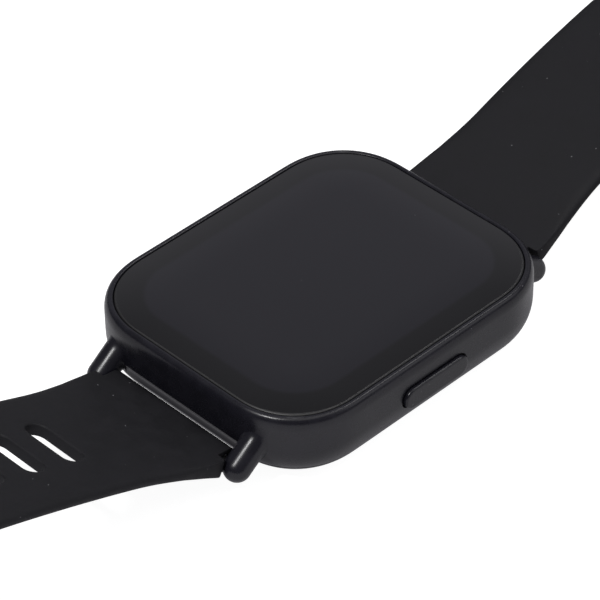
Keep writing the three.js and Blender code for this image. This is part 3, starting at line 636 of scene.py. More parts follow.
def make_slab(name, low, high, finish, label):
    """A flat strap piece: X across, Y the distance along the strap, Z off its centre line."""
    marks = [SLOTS["first"] + i * SLOTS["pitch"] for i in range(SLOTS["count"])]
    slots = [s for s in marks if name == "lower" and low < s < high]
    verts, faces, free = strap_plan(name, low, high, slots)
    x, s = verts.T
    height = half_thickness(name, s)
    width, power = roll_width(name, s), roll_power(name, s)
    reach = np.clip(edge_distance(verts, free) / width, 0, 1)
    reach[reach < 1e-4] = 0
    height = height * (1 - (1 - reach) ** power) ** (1 / power)
    for at in slots:
        gap = np.clip(slot_distance(x, s, at), 0, SLOTS["edge"])
        height = height - SLOTS["edge"] + np.sqrt(SLOTS["edge"] ** 2 - (SLOTS["edge"] - gap) ** 2)
    count = len(verts)
    points = np.concatenate((np.column_stack((x, s, height)), np.column_stack((x, s, -height))))
    quads = [tuple(f) for f in faces] + [tuple(f[::-1] + count) for f in faces]
    seen = {}
    for f in faces:
        for a, b in ((f[0], f[1]), (f[1], f[2]), (f[2], f[0])):
            seen.setdefault((min(a, b), max(a, b)), []).append((a, b))
    for uses in seen.values():
        if len(uses) == 1 and max(height[list(uses[0])]) > 1e-4:
            a, b = uses[0]
            quads.append((b, a, a + count, b + count))
    quads = [tuple(int(i) for i in q) for q in quads]
    return add_object(label, points, quads, finish, angle=38)


def bend_tree():
    """Geometry nodes that lay a flat strap piece along a centre line."""
    tree = bpy.data.node_groups.new("Lay along centre line", "GeometryNodeTree")
    face = tree.interface
    face.new_socket("Geometry", in_out="INPUT", socket_type="NodeSocketGeometry")
    face.new_socket("Centre line", in_out="INPUT", socket_type="NodeSocketObject")
    face.new_socket("Lead", in_out="INPUT", socket_type="NodeSocketFloat")
    face.new_socket("Across", in_out="INPUT", socket_type="NodeSocketVector")
    face.new_socket("Material", in_out="INPUT", socket_type="NodeSocketMaterial")
    face.new_socket("Geometry", in_out="OUTPUT", socket_type="NodeSocketGeometry")
    node = tree.nodes.new
    link = tree.links.new
    given, out = node("NodeGroupInput"), node("NodeGroupOutput")
    info = node("GeometryNodeObjectInfo")
    place, parts = node("GeometryNodeInputPosition"), node("ShaderNodeSeparateXYZ")
    length, sample = node("ShaderNodeMath"), node("GeometryNodeSampleCurve")
    length.operation = "ADD"
    sample.mode = "LENGTH"
    outward, lift, slide = (node("ShaderNodeVectorMath") for _ in range(3))
    outward.operation, lift.operation, slide.operation = "CROSS_PRODUCT", "SCALE", "SCALE"
    first, second = node("ShaderNodeVectorMath"), node("ShaderNodeVectorMath")
    move = node("GeometryNodeSetPosition")
    realize, paint = node("GeometryNodeRealizeInstances"), node("GeometryNodeSetMaterial")
    link(given.outputs["Centre line"], info.inputs["Object"])
    link(place.outputs[0], parts.inputs[0])
    link(parts.outputs["Y"], length.inputs[0])
    link(given.outputs["Lead"], length.inputs[1])
    link(info.outputs["Geometry"], sample.inputs["Curves"])
    link(length.outputs[0], sample.inputs["Length"])
    link(given.outputs["Across"], outward.inputs[0])
    link(sample.outputs["Tangent"], outward.inputs[1])
    link(outward.outputs[0], lift.inputs[0])
    link(parts.outputs["Z"], lift.inputs["Scale"])
    link(given.outputs["Across"], slide.inputs[0])
    link(parts.outputs["X"], slide.inputs["Scale"])
    link(sample.outputs["Position"], first.inputs[0])
    link(lift.outputs[0], first.inputs[1])
    link(first.outputs[0], second.inputs[0])
    link(slide.outputs[0], second.inputs[1])
    link(given.outputs["Geometry"], move.inputs["Geometry"])
    link(second.outputs[0], move.inputs["Position"])
    link(move.outputs[0], realize.inputs[0])
    link(realize.outputs[0], paint.inputs["Geometry"])
    link(given.outputs["Material"], paint.inputs["Material"])
    link(paint.outputs[0], out.inputs[0])
    return tree


def centre_curve(name):
    """A strap half's centre line as a curve, with a straight lead at both ends."""
    strap = STRAPS[name]
    marks = np.arange(-4.0, strap["length"] + 4.01, 0.5)
    line = bpy.data.curves.new(f"{name}_centre_line", "CURVE")
    line.dimensions = "3D"
    spline = line.splines.new("POLY")
    spline.points.add(len(marks) - 1)
    for point, s in zip(spline.points, marks):
        point.co = (*strap_point(strap, s), 1)
    made = bpy.data.objects.new(line.name, line)
    bpy.context.scene.collection.objects.link(made)
    return made


def fill_inputs(change, values):
    """Sets a geometry nodes modifier's inputs by their names."""
    for item in change.node_group.interface.items_tree:
        if item.in_out == "INPUT" and item.name in values:
            change[item.identifier] = values[item.name]


def make_strap(finish):
    """Both strap halves, piece by piece, each laid along its centre line."""
    tree = bend_tree()
    for name, strap in STRAPS.items():
        line = centre_curve(name)
        for half, label, low, high, first, second, start, stop, links in STRAP_PIECES:
            if half != name:
                continue
            slab = make_slab(name, low, high, finish, label)
            cutters = []
            if low < 0:
                cutters.append(rod(1.1, -20, 20, 0, 0, 32))
                lever = np.array([[(x, y, z) for x, y in ((6.3, -0.75), (8.9, -0.75), (8.9, 0.75),
                                                          (6.3, 0.75))] for z in (-3.0, 0.0)])
                cutters.append(add_object("lever", *skin(lever)))
            if name == "upper" and high > strap["length"]:
                cutters.append(rod(PIN_HOLE, -20, 20, strap["length"], 0, 32))
            if cutters:
                combine(slab, cutters, "DIFFERENCE")
                drop_slivers(slab)
            change = slab.modifiers.new("Lay", "NODES")
            change.node_group = tree
            fill_inputs(change, {"Centre line": line, "Lead": 4.0 * MM,
                                 "Across": (float(strap["side"]), 0.0, 0.0), "Material": finish})
            slab.update_tag()
            settle(slab)
            drop_slivers(slab)
            smooth(slab.data, 38)
            own(slab, "silicone", *[f"{name}_strap_{i}" for i in links])
            strap_point(strap, start)
            strap_point(strap, stop)
            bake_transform(slab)
        bpy.data.curves.remove(line.data)


def coil_tree():
    """Geometry nodes that wind a wire into a spring along X."""
    tree = bpy.data.node_groups.new("Wind a spring", "GeometryNodeTree")
    face = tree.interface
    for label, kind in (("Turns", "Float"), ("Radius", "Float"), ("Wire", "Float"),
                        ("Length", "Float"), ("Start", "Vector"), ("Material", "Material")):
        face.new_socket(label, in_out="INPUT", socket_type=f"NodeSocket{kind}")
    face.new_socket("Geometry", in_out="OUTPUT", socket_type="NodeSocketGeometry")
    node = tree.nodes.new
    link = tree.links.new
    given, out = node("NodeGroupInput"), node("NodeGroupOutput")
    spiral, lay = node("GeometryNodeCurveSpiral"), node("GeometryNodeTransform")
    round_wire, sweep = node("GeometryNodeCurvePrimitiveCircle"), node("GeometryNodeCurveToMesh")
    realize, paint = node("GeometryNodeRealizeInstances"), node("GeometryNodeSetMaterial")
    spiral.inputs["Resolution"].default_value = 24
    round_wire.inputs["Resolution"].default_value = 10
    lay.inputs["Rotation"].default_value = (0.0, math.pi / 2, 0.0)
    sweep.inputs["Fill Caps"].default_value = True
    link(given.outputs["Turns"], spiral.inputs["Rotations"])
    link(given.outputs["Radius"], spiral.inputs["Start Radius"])
    link(given.outputs["Radius"], spiral.inputs["End Radius"])
    link(given.outputs["Length"], spiral.inputs["Height"])
    link(given.outputs["Wire"], round_wire.inputs["Radius"])
    link(spiral.outputs[0], lay.inputs["Geometry"])
    link(given.outputs["Start"], lay.inputs["Translation"])
    link(lay.outputs[0], sweep.inputs["Curve"])
    link(round_wire.outputs["Curve"], sweep.inputs["Profile Curve"])
    link(sweep.outputs[0], realize.inputs[0])
    link(realize.outputs[0], paint.inputs["Geometry"])
    link(given.outputs["Material"], paint.inputs["Material"])
    link(paint.outputs[0], out.inputs[0])
    return tree


def make_coils(finish):
    """The spring in each spring bar, wound at one length, though the real spring shortens as the
    bar's tip is drawn in.
    """
    tree = coil_tree()
    for name, strap in STRAPS.items():
        coil = add_object(f"{name}_bar_coil", [(0, 0, 0)], [], finish, tidy=False)
        y = strap["side"] * HINGE_Y
        change = coil.modifiers.new("Wind", "NODES")
        change.node_group = tree
        fill_inputs(change, {"Turns": COIL["turns"], "Radius": COIL["radius"] * MM,
                             "Wire": COIL["wire"] * MM, "Length": 2 * COIL["half"] * MM,
                             "Start": (-COIL["half"] * MM, y * MM, HINGE_Z * MM),
                             "Material": finish})
        coil.update_tag()
        settle(coil)
        drop_slivers(coil)
        smooth(coil.data, 40)
        own(coil, "steel", f"{name}_bar_spring")
        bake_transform(coil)


def on_strap(strap, distance):
    """The frame of a strap half at a distance: across, along and outwards as columns."""
    y, z, slope = centre(strap, distance)
    side = strap["side"]
    turn = Matrix(((side, 0, 0), (0, side * math.cos(slope), -side * math.sin(slope)),
                   (0, math.sin(slope), math.cos(slope))))
    return np.array(turn), np.array((0, side * (HINGE_Y + y), HINGE_Z + z))


def make_keepers(finish):
    """The fixed and the loose keeper: soft loops of a rounded section round the strap."""
    strap = STRAPS["upper"]
    low, high = -BAND_THICK / 2 - 0.5, BAND_THICK / 2 + 2.6
    middle = (low + high) / 2
    inner = corner_points(11.5, (high - low) / 2, 0.8, 6, 2, 14, 4)
    outer = corner_points(12.8, (high - low) / 2 + 1.3, 2.0, 6, 2, 14, 4)
    turns = np.linspace(0, 2 * math.pi, 24, endpoint=False)
    for node, label, distance, body in KEEPERS:
        turn, at = on_strap(strap, distance)
        rings = []
        for a in turns:
            c, s = math.cos(a), math.sin(a)
            along = 2.0 * math.copysign(abs(c) ** 0.45, c)
            share = 0.5 + 0.5 * math.copysign(abs(s) ** 0.62, s)
            ring = inner + (outer - inner) * share
            local = np.column_stack((ring[:, 0], np.full(len(ring), along), ring[:, 1] + middle))
            rings.append(local @ turn.T + at)
        loop = add_object(label, *skin(np.array(rings), wrap_rows=True), finish=finish, angle=60)
        own(loop, "silicone", node, body=body)


# ---- Buckle ---------------------------------------------------------------------------------
def make_buckle(finish):
    """The buckle frame: one rounded bar bent round two corners, with an eye at each foot."""
    strap = STRAPS["upper"]
    _, at = on_strap(strap, strap["length"])
    turn = np.array(Matrix.Rotation(-BUCKLE_TILT, 3, "X"))
    bend, half_x, front = 2.3, 11.7, 9.5
    path = [(half_x, y) for y in np.linspace(0.4, front - bend, 6)]
    path += [(half_x - bend + bend * math.cos(a), front - bend + bend * math.sin(a))
             for a in np.linspace(0, math.pi / 2, 10)[1:]]
    path += [(x, front) for x in np.linspace(half_x - bend, 0, 8)[1:]]
    path += [(-x, y) for x, y in path[-2::-1]]
    turns = np.linspace(0, 2 * math.pi, 28, endpoint=False)
    section = [(math.copysign(abs(math.cos(a)) ** 0.55, math.cos(a)),
                math.copysign(abs(math.sin(a)) ** 0.55, math.sin(a))) for a in turns]
    rings = []
    for k, (x, y) in enumerate(path):
        before, after = np.array(path[max(0, k - 1)]), np.array(path[min(len(path) - 1, k + 1)])
        ahead = (after - before) / np.linalg.norm(after - before)
        outward = np.array((ahead[1], -ahead[0]))
        wide = 1.0 + 0.1 * abs(ahead[0])
        rings.append([(x + outward[0] * u * wide, y + outward[1] * u * wide, v * 1.1)
                      for u, v in section])
    bar = np.array(rings) @ turn.T + at
    buckle = add_object("buckle_bow", *skin(bar), finish=finish, angle=50)
    eyes = []
    for side in (-1, 1):
        profile = [(0.85, 10.85), (1.0, 10.7), (1.65, 10.7), (1.83, 10.78), (1.9, 10.95),
                   (1.9, 12.45), (1.83, 12.62), (1.65, 12.7), (1.0, 12.7), (0.85, 12.55)]
        grid = np.array([[(side * x, r * math.cos(a), r * math.sin(a)) for a in np.linspace(
            0, 2 * math.pi, 40, endpoint=False)] for r, x in profile])
        eyes.append(add_object("eye", *skin(grid @ turn.T + at, wrap_rows=True)))
    hole = lathe("hole", ((0.85, -20), (0.85, 20)), "X", at, 40)
    combine(buckle, eyes, "UNION")
    combine(buckle, [hole], "DIFFERENCE")
    drop_slivers(buckle)
    smooth(buckle.data, 50)
    own(buckle, "black_steel", "buckle_frame", body="buckle")


def soften(node, label, slot, body, finish, width, segments=3, angle=25):
    """A copy of a small CAD solid with rounded edges."""
    mesh = frame["nodes"][node].data.copy()
    mesh.name = label
    mesh.materials.clear()
    mesh.materials.append(finish)
    shape = bmesh.new()
    shape.from_mesh(mesh)
    bmesh.ops.remove_doubles(shape, verts=shape.verts, dist=1e-6)
    bmesh.ops.dissolve_limit(shape, angle_limit=math.radians(2), verts=shape.verts,
                             edges=shape.edges)
    bmesh.ops.recalc_face_normals(shape, faces=shape.faces)
    for face in shape.faces:
        face.material_index = 0
    shape.to_mesh(mesh)
    shape.free()
    made = bpy.data.objects.new(label, mesh)
    bpy.context.scene.collection.objects.link(made)
    change = made.modifiers.new("Round", "BEVEL")
    change.width = width * MM
    change.segments = segments
    change.limit_method = "ANGLE"
    change.angle_limit = math.radians(angle)
    change.use_clamp_overlap = True
    settle(made)
    smooth(made.data, 50)
    return own(made, slot, node, body=body)


# ---- Finishes -------------------------------------------------------------------------------
class Nodes:
    """Short calls for building one node tree."""

    def __init__(self, tree):
        self.tree = tree

    def add(self, kind, settings=(), **inputs):
        made = self.tree.nodes.new(kind)
        for key, value in dict(settings).items():
            setattr(made, key, value)
        for key, value in inputs.items():
            self.feed(made.inputs[key.replace("_", " ")], value)
        return made

    def feed(self, socket, value):
        if isinstance(value, bpy.types.NodeSocket):
            self.tree.links.new(value, socket)
        else:
            socket.default_value = value

    def math(self, operation, a, b=0.0, clamp=False):
        made = self.add("ShaderNodeMath", {"operation": operation, "use_clamp": clamp})
        self.feed(made.inputs[0], a)
        self.feed(made.inputs[1], b)
        return made.outputs[0]

    def mix(self, share, a, b, blend="MIX"):
        made = self.add("ShaderNodeMix", {"data_type": "RGBA", "blend_type": blend})
        for index, value in ((0, share), (6, a), (7, b)):
            if index and isinstance(value, tuple):
                value = (*value, 1.0)[:4]
            self.feed(made.inputs[index], value)
        return made.outputs[2]

    def ramp(self, value, low, high, to_low=0.0, to_high=1.0):
        made = self.add("ShaderNodeMapRange", {"interpolation_type": "SMOOTHSTEP"})
        for key, given in (("Value", value), ("From Min", low), ("From Max", high),
                           ("To Min", to_low), ("To Max", to_high)):
            self.feed(made.inputs[key], given)
        return made.outputs[0]


def new_group(name, inputs, outputs):
    """An empty shader group with named float inputs (name: default) and outputs."""
    tree = bpy.data.node_groups.new(name, "ShaderNodeTree")
    for label, default in inputs.items():
        kind = "NodeSocketVector" if isinstance(default, tuple) else "NodeSocketFloat"
        socket = tree.interface.new_socket(label, in_out="INPUT", socket_type=kind)
        socket.default_value = default
    for label in outputs:
        tree.interface.new_socket(label, in_out="OUTPUT", socket_type="NodeSocketFloat")
    kit = Nodes(tree)
    return kit, kit.add("NodeGroupInput").outputs, kit.add("NodeGroupOutput").inputs


def grain_group():
    """Moulded or blasted grain: a fine height, and a coarser unevenness of the same skin."""
    kit, given, out = new_group("Surface grain", {"Stretch": (1.0, 1.0, 1.0), "Scale": 3000.0},
                                ("Height", "Unevenness"))
    where = kit.add("ShaderNodeTexCoord").outputs["Object"]
    turned = kit.add("ShaderNodeVectorMath", {"operation": "MULTIPLY"})
    kit.feed(turned.inputs[0], where)
    kit.feed(turned.inputs[1], given["Stretch"])
    fine = kit.add("ShaderNodeTexNoise", Vector=turned.outputs[0], Scale=given["Scale"],
                   Detail=3.0, Roughness=0.6)
    coarse = kit.add("ShaderNodeTexNoise", Vector=turned.outputs[0], Detail=2.0,
                     Scale=kit.math("MULTIPLY", given["Scale"], 0.07))
    kit.feed(out["Height"], fine.outputs[0])
    kit.feed(out["Unevenness"], kit.ramp(coarse.outputs[0], 0.3, 0.7))
    return kit.tree


def dust_group():
    """Sparse specks of dust and lint: only some cells hold a speck near the surface."""
    kit, given, out = new_group("Dust specks", {"Scale": 900.0, "Size": 0.09, "Share": 0.3},
                                ("Mask",))
    where = kit.add("ShaderNodeTexCoord").outputs["Object"]
    cells = kit.add("ShaderNodeTexVoronoi", Vector=where, Scale=given["Scale"])
    lot = kit.add("ShaderNodeSeparateColor", Color=cells.outputs["Color"])
    size = kit.math("MULTIPLY", given["Size"], lot.outputs[1])
    near = kit.math("LESS_THAN", cells.outputs["Distance"], size)
    chosen = kit.math("LESS_THAN", lot.outputs[0], given["Share"])
    kit.feed(out["Mask"], kit.math("MULTIPLY", near, chosen))
    return kit.tree


def wear_and_highlight_group():
    """A mask along the sharp edges, broken up by a soft noise, for edges made paler and smoother: a
    painted edge highlight, and rubbed bare metal on the buckle.
    """
    kit, given, out = new_group("Edge wear", {"Start": 0.52, "End": 0.6}, ("Mask",))
    point = kit.add("ShaderNodeNewGeometry").outputs["Pointiness"]
    where = kit.add("ShaderNodeTexCoord").outputs["Object"]
    patches = kit.add("ShaderNodeTexNoise", Vector=where, Scale=350.0, Detail=2.0)
    edge = kit.ramp(point, given["Start"], given["End"])
    kit.feed(out["Mask"], kit.math("MULTIPLY", edge, kit.ramp(patches.outputs[0], 0.3, 0.6)))
    return kit.tree


def window_group():
    """One inside a rounded rectangle about the origin, nought outside, with a soft border."""
    kit, given, out = new_group("Rounded window", {"Half X": 0.016, "Half Y": 0.02,
                                                   "Corner": 0.007, "Border": 0.0003}, ("Mask",))
    where = kit.add("ShaderNodeTexCoord").outputs["Object"]
    parts = kit.add("ShaderNodeSeparateXYZ", Vector=where)
    over = []
    for axis, half in (("X", "Half X"), ("Y", "Half Y")):
        reach = kit.math("SUBTRACT", kit.math("ABSOLUTE", parts.outputs[axis]),
                         kit.math("SUBTRACT", given[half], given["Corner"]))
        over.append(kit.math("POWER", kit.math("MAXIMUM", reach, 0.0), 2.0))
    away = kit.math("SQRT", kit.math("ADD", over[0], over[1]))
    gap = kit.math("SUBTRACT", given["Corner"], away)
    kit.feed(out["Mask"], kit.math("DIVIDE", gap, given["Border"], clamp=True))
    return kit.tree


def make_finish(name, groups, colour, roughness, metallic=0.0, grain=3000.0, bump=0.1,
                depth=0.00002, stretch=(1.0, 1.0, 1.0), uneven=0.1, shade=0.15, dust=None,
                worn=None, pattern=None, **sockets):
    """A procedural finish: colour, grain, unevenness, dust, paler edges that are a painted highlight
    and on metal also rubbed bare, and an optional pattern.
    """
    material = bpy.data.materials.new(name)
    material.use_nodes = True
    material.diffuse_color = (*colour, 1.0)
    kit = Nodes(material.node_tree)
    skin_of = material.node_tree.nodes["Principled BSDF"]
    grain_at = kit.add("ShaderNodeGroup", {"node_tree": groups["grain"]}, Scale=grain,
                       Stretch=stretch)
    height, patchy = grain_at.outputs["Height"], grain_at.outputs["Unevenness"]
    darker = tuple(c * (1 - shade) for c in colour)
    lighter = tuple(min(1.0, c * (1 + shade)) for c in colour)
    tone = kit.mix(patchy, darker, lighter)
    tone = kit.mix(kit.ramp(height, 0.35, 0.65, 0.0, shade), tone, lighter)
    gloss = kit.ramp(patchy, 0.0, 1.0, roughness * (1 - uneven), roughness * (1 + uneven))
    if pattern:
        tone, gloss = pattern(kit, tone, gloss)
    if worn:
        mask = kit.add("ShaderNodeGroup", {"node_tree": groups["wear_and_highlight"]}, Start=worn["start"],
                       End=worn["end"]).outputs[0]
        # Paler colour along the edges: a painted edge highlight, and on the buckle also rubbed bare
        # steel.
        tone = kit.mix(mask, tone, worn["colour"])
        gloss = kit.math("SUBTRACT", gloss, kit.math("MULTIPLY", mask, worn["polish"]))
    if dust:
        mask = kit.add("ShaderNodeGroup", {"node_tree": groups["dust"]}, Scale=dust[0],
                       Size=dust[1], Share=dust[2]).outputs[0]
        tone = kit.mix(mask, tone, dust[3])
        gloss = kit.math("ADD", gloss, kit.math("MULTIPLY", mask, 0.3))
    raised = kit.add("ShaderNodeBump", Height=height, Strength=bump, Distance=depth)
    kit.feed(skin_of.inputs["Base Color"], tone)
    kit.feed(skin_of.inputs["Roughness"], gloss)
    kit.feed(skin_of.inputs["Normal"], raised.outputs[0])
    skin_of.inputs["Metallic"].default_value = metallic
    for key, value in sockets.items():
        skin_of.inputs[key.replace("_", " ")].default_value = value
    return material


def traces(kit, tone, gloss):
    """Copper traces and solder lands under a green lacquer."""
    where = kit.add("ShaderNodeTexCoord").outputs["Object"]
    cells = kit.add("ShaderNodeTexVoronoi", {"distance": "MANHATTAN", "feature": "F1"},
                    Vector=where, Scale=900.0)
    lanes = kit.add("ShaderNodeTexBrick", {"offset": 0.37, "squash": 0.6, "squash_frequency": 3},
                    Vector=where, Scale=420.0, Mortar_Size=0.06)
    land = kit.math("LESS_THAN", cells.outputs["Distance"], 0.16)
    tone = kit.mix(lanes.outputs["Fac"], tone, (0.035, 0.14, 0.05))
    tone = kit.mix(land, tone, (0.55, 0.5, 0.38))
    return tone, kit.math("SUBTRACT", gloss, kit.math("MULTIPLY", land, 0.15))


def film_lines(kit, tone, gloss):
    """Conductor lines that run along a flexible circuit."""
    where = kit.add("ShaderNodeTexCoord").outputs["Object"]
    lines = kit.add("ShaderNodeTexWave", {"bands_direction": "DIAGONAL"}, Vector=where,
                    Scale=700.0)
    return kit.mix(kit.ramp(lines.outputs[1], 0.55, 0.7), tone, (0.5, 0.19, 0.045)), gloss


def painted_crease_lines(kit, tone, gloss):
    """Paler, rougher lines in a cell pattern that stand for the shallow crease lines of a foil or
    pressed sheet: the paler colour is a painted crease highlight, and the shape has no fold.
    """
    where = kit.add("ShaderNodeTexCoord").outputs["Object"]
    folds = kit.add("ShaderNodeTexVoronoi", {"feature": "DISTANCE_TO_EDGE"}, Vector=where,
                    Scale=260.0)
    line = kit.ramp(folds.outputs[0], 0.0, 0.05, 0.35, 0.0)
    # Painted crease highlight: the lines are made paler and rougher.
    return kit.mix(line, tone, (0.9, 0.9, 0.92)), kit.math("ADD", gloss, line)


def polished_hollows(kit, tone, gloss):
    """The hollows that the strap ends turn in are smoother than the rest of the case."""
    where = kit.add("ShaderNodeTexCoord").outputs["Object"]
    parts = kit.add("ShaderNodeSeparateXYZ", Vector=where).outputs
    inside = kit.math("LESS_THAN", kit.math("ABSOLUTE", parts["X"]), 0.0105)
    low = kit.ramp(parts["Z"], 0.0052, 0.0062, 1.0, 0.0)
    end = kit.math("GREATER_THAN", kit.math("ABSOLUTE", parts["Y"]), 0.022)
    mask = kit.math("MULTIPLY", kit.math("MULTIPLY", inside, low), end)
    return tone, kit.math("SUBTRACT", gloss, kit.math("MULTIPLY", mask, 0.12))


def lit_panel(groups, border, panel):
    """The panel shows as a paler window in a black border, and the glass's edge is ground."""
    def pattern(kit, tone, gloss):
        mask = kit.add("ShaderNodeGroup", {"node_tree": groups["window"]}, Half_X=0.0159,
                       Half_Y=0.0202, Corner=0.0074, Border=0.0006).outputs[0]
        top = kit.add("ShaderNodeGroup", {"node_tree": groups["window"]}, Half_X=0.0188,
                      Half_Y=0.02315, Corner=0.0095, Border=0.0002).outputs[0]
        gloss = kit.ramp(top, 0.0, 1.0, 0.5, gloss)
        return kit.mix(mask, (*border, 1.0), kit.mix(0.12, panel, tone)), gloss
    return pattern


def make_finishes(look):
    """Every finish of the watch, under the name of its material slot."""
    groups = {"grain": grain_group(), "dust": dust_group(), "wear_and_highlight": wear_and_highlight_group(),
              "window": window_group()}
    case, strap = tuple(look.case_colour), tuple(look.strap_colour)
    lint = (0.16, 0.16, 0.17)
    made = {
        "case_plastic": dict(colour=case, roughness=0.27, grain=7000.0, bump=0.22, uneven=0.08,
                             shade=0.12, dust=(1300.0, 0.1, 0.13, lint),
                             Specular_IOR_Level=0.3, pattern=polished_hollows,
                             # The case's paler edges are a painted edge highlight.
                             worn={"start": 0.53, "end": 0.62, "colour": (0.03, 0.03, 0.033),
                                   "polish": 0.02}),
        "dark_glass": dict(colour=(0.012, 0.012, 0.014), roughness=0.09, grain=500.0, bump=0.0,
                           uneven=0.35, shade=0.1, dust=(900.0, 0.06, 0.06, lint), IOR=1.5,
                           pattern=lit_panel(groups, (0.0038, 0.0038, 0.0042),
                                             (0.0066, 0.0064, 0.0088))),
        "silicone": dict(colour=strap, roughness=0.66, grain=5200.0, bump=0.2, depth=0.000015,
                         uneven=0.07, shade=0.14, dust=(1100.0, 0.1, 0.2, lint),
                         Specular_IOR_Level=0.2),
        "steel": dict(colour=(0.56, 0.57, 0.6), roughness=0.26, metallic=1.0, grain=2500.0,
                      stretch=(0.06, 1.0, 1.0), bump=0.12, uneven=0.3, shade=0.1),
        "black_steel": dict(colour=(0.045, 0.046, 0.05), roughness=0.3, metallic=1.0,
                            grain=3200.0, stretch=(0.05, 1.0, 1.0), bump=0.1, uneven=0.2,
                            shade=0.2, dust=(1100.0, 0.08, 0.08, lint),
                            # The buckle's paler edges are rubbed bare steel and a painted edge
                            # highlight.
                            worn={"start": 0.54, "end": 0.66, "colour": (0.2, 0.2, 0.21),
                                  "polish": 0.08}),
        "gold": dict(colour=(0.83, 0.6, 0.26), roughness=0.22, metallic=1.0, grain=4000.0,
                     bump=0.06, uneven=0.3, shade=0.12),
        "circuit_board": dict(colour=(0.012, 0.07, 0.025), roughness=0.42, grain=1500.0,
                              bump=0.1, pattern=traces),
        "flex_film": dict(colour=(0.42, 0.12, 0.02), roughness=0.4, grain=1800.0, bump=0.08,
                          pattern=film_lines),
        "foil": dict(colour=(0.55, 0.56, 0.58), roughness=0.34, metallic=0.8, grain=1500.0,
                     bump=0.2, pattern=painted_crease_lines),
        "foam": dict(colour=(0.008, 0.008, 0.009), roughness=0.88, grain=2600.0, bump=0.8,
                     depth=0.0001, shade=0.3),
        "chip_black": dict(colour=(0.017, 0.017, 0.018), roughness=0.5, grain=6000.0, bump=0.3,
                           shade=0.2),
        "clear_resin": dict(colour=(0.62, 0.78, 0.5), roughness=0.14, grain=900.0, bump=0.05,
                            IOR=1.5),
    }
    return {slot: make_finish(slot, groups, **recipe) for slot, recipe in made.items()}


# ---- Stage ----------------------------------------------------------------------------------
def add_light(name, at, aim, size, power, tint=(1.0, 1.0, 1.0)):
    """A soft box at a place, in metres, turned towards another."""
    light = bpy.data.lights.new(name, "AREA")
    light.shape = "RECTANGLE"
    light.size, light.size_y = size
    light.energy = power
    light.color = tint
    made = bpy.data.objects.new(name, light)
    bpy.context.scene.collection.objects.link(made)
    made.location = at
    made.rotation_mode = "QUATERNION"
    made.rotation_quaternion = (Vector(aim) - Vector(at)).to_track_quat("-Z", "Y")
    return made


def make_stage(look):
    """A white sweep of floor that glows, soft light from above and both sides, and the camera."""
    low = CAD_BOUNDS[0]
    floor_at = low.z / MM - 0.02
    size = 4000.0
    floor = add_object("floor", [(-size, -size, floor_at), (size, -size, floor_at),
                                 (size, size, floor_at), (-size, size, floor_at)],
                       [(0, 1, 2, 3)], tidy=False)
    glowing_sweep = bpy.data.materials.new("white_sweep")
    glowing_sweep.use_nodes = True
    kit = Nodes(glowing_sweep.node_tree)
    skin_of = glowing_sweep.node_tree.nodes["Principled BSDF"]
    where = kit.add("ShaderNodeTexCoord").outputs["Object"]
    fibre = kit.add("ShaderNodeTexNoise", Vector=where, Scale=900.0, Detail=4.0)
    kit.feed(skin_of.inputs["Base Color"],
             kit.mix(kit.ramp(fibre.outputs[0], 0.3, 0.7), (0.29, 0.29, 0.292), (0.33, 0.33, 0.33)))
    skin_of.inputs["Roughness"].default_value = 0.8
    skin_of.inputs["Specular IOR Level"].default_value = 0.2
    # The floor glows though it is no lamp: at full strength where the camera sees it, which keeps it
    # white, and for all other rays as a cooler hidden light that is stronger on the camera's side of
    # the watch.
    seen = kit.add("ShaderNodeLightPath").outputs["Is Camera Ray"]
    kit.feed(skin_of.inputs["Emission Color"],
             kit.mix(seen, (0.95, 0.93, 1.0), (1.0, 1.0, 1.0)))
    spot = kit.add("ShaderNodeSeparateXYZ", Vector=where).outputs
    front = kit.ramp(kit.math("SUBTRACT", spot["X"], spot["Y"]), 0.032, 0.056, 0.3, 0.7)
    share = kit.ramp(seen, 0.0, 1.0, front, 1.0)
    kit.feed(skin_of.inputs["Emission Strength"], kit.math("MULTIPLY", share, look.table))
    floor.data.materials.append(glowing_sweep)

    scene = bpy.context.scene
    world = bpy.data.worlds.new("studio")
    world.use_nodes = True
    sky = Nodes(world.node_tree)
    aim = sky.add("ShaderNodeTexCoord").outputs["Generated"]
    parts = sky.add("ShaderNodeSeparateXYZ", Vector=aim).outputs
    ahead, rise = parts["Y"], parts["Z"]
    glow = sky.math("MULTIPLY", sky.ramp(rise, 0.45, 0.85, 1.5, 0.6),
                    sky.ramp(rise, 0.05, 0.5, 0.2, 1.0))
    glow = sky.math("MULTIPLY", glow, sky.ramp(ahead, -0.4, 0.3, 0.35, 1.0))
    backdrop = world.node_tree.nodes["Background"]
    backdrop.inputs["Color"].default_value = (0.93, 0.92, 1.0, 1.0)
    sky.feed(backdrop.inputs["Strength"], sky.math("MULTIPLY", glow, look.fill))
    scene.world = world
    power = look.key
    add_light("top_softbox", (0.1, 0.0, 0.8), (0, 0, 0), (0.9, 0.9), power * 0.5, (1.0, 0.98, 0.98))
    add_light("key_softbox", (-0.02, -0.5, 0.75), (0, 0, 0), (0.16, 0.16), power * 0.95)
    add_light("rim_softbox", (0.0, 0.48, 0.76), (0, 0, 0), (0.2, 0.2), power * 0.16)
    add_light("side_softbox", (0.6, 0.5, 0.5), (0, 0, 0), (0.45, 0.45), power * 0.1)

    right = np.array((0.7048, 0.7093, -0.0109))
    up = np.array((-0.4494, 0.4584, 0.7667))
    back = np.array((0.5489, -0.5354, 0.6418))
    at = np.array((0, 0, RIM_Z)) + 405.17 * back - 2.5725 * right - 2.8198 * up
    camera = bpy.data.cameras.new("camera")
    camera.lens = 192.0
    camera.sensor_width = 36.0
    camera.clip_start, camera.clip_end = 0.01, 20.0
    made = bpy.data.objects.new("camera", camera)
    scene.collection.objects.link(made)
    turn = Matrix(np.column_stack((right, up, back)).tolist())
    made.matrix_world = Matrix.LocRotScale(Vector(at * MM), turn.to_quaternion(), None)
    scene.camera = made
    scene.view_settings.view_transform = "Standard"
    scene.view_settings.look = "None"


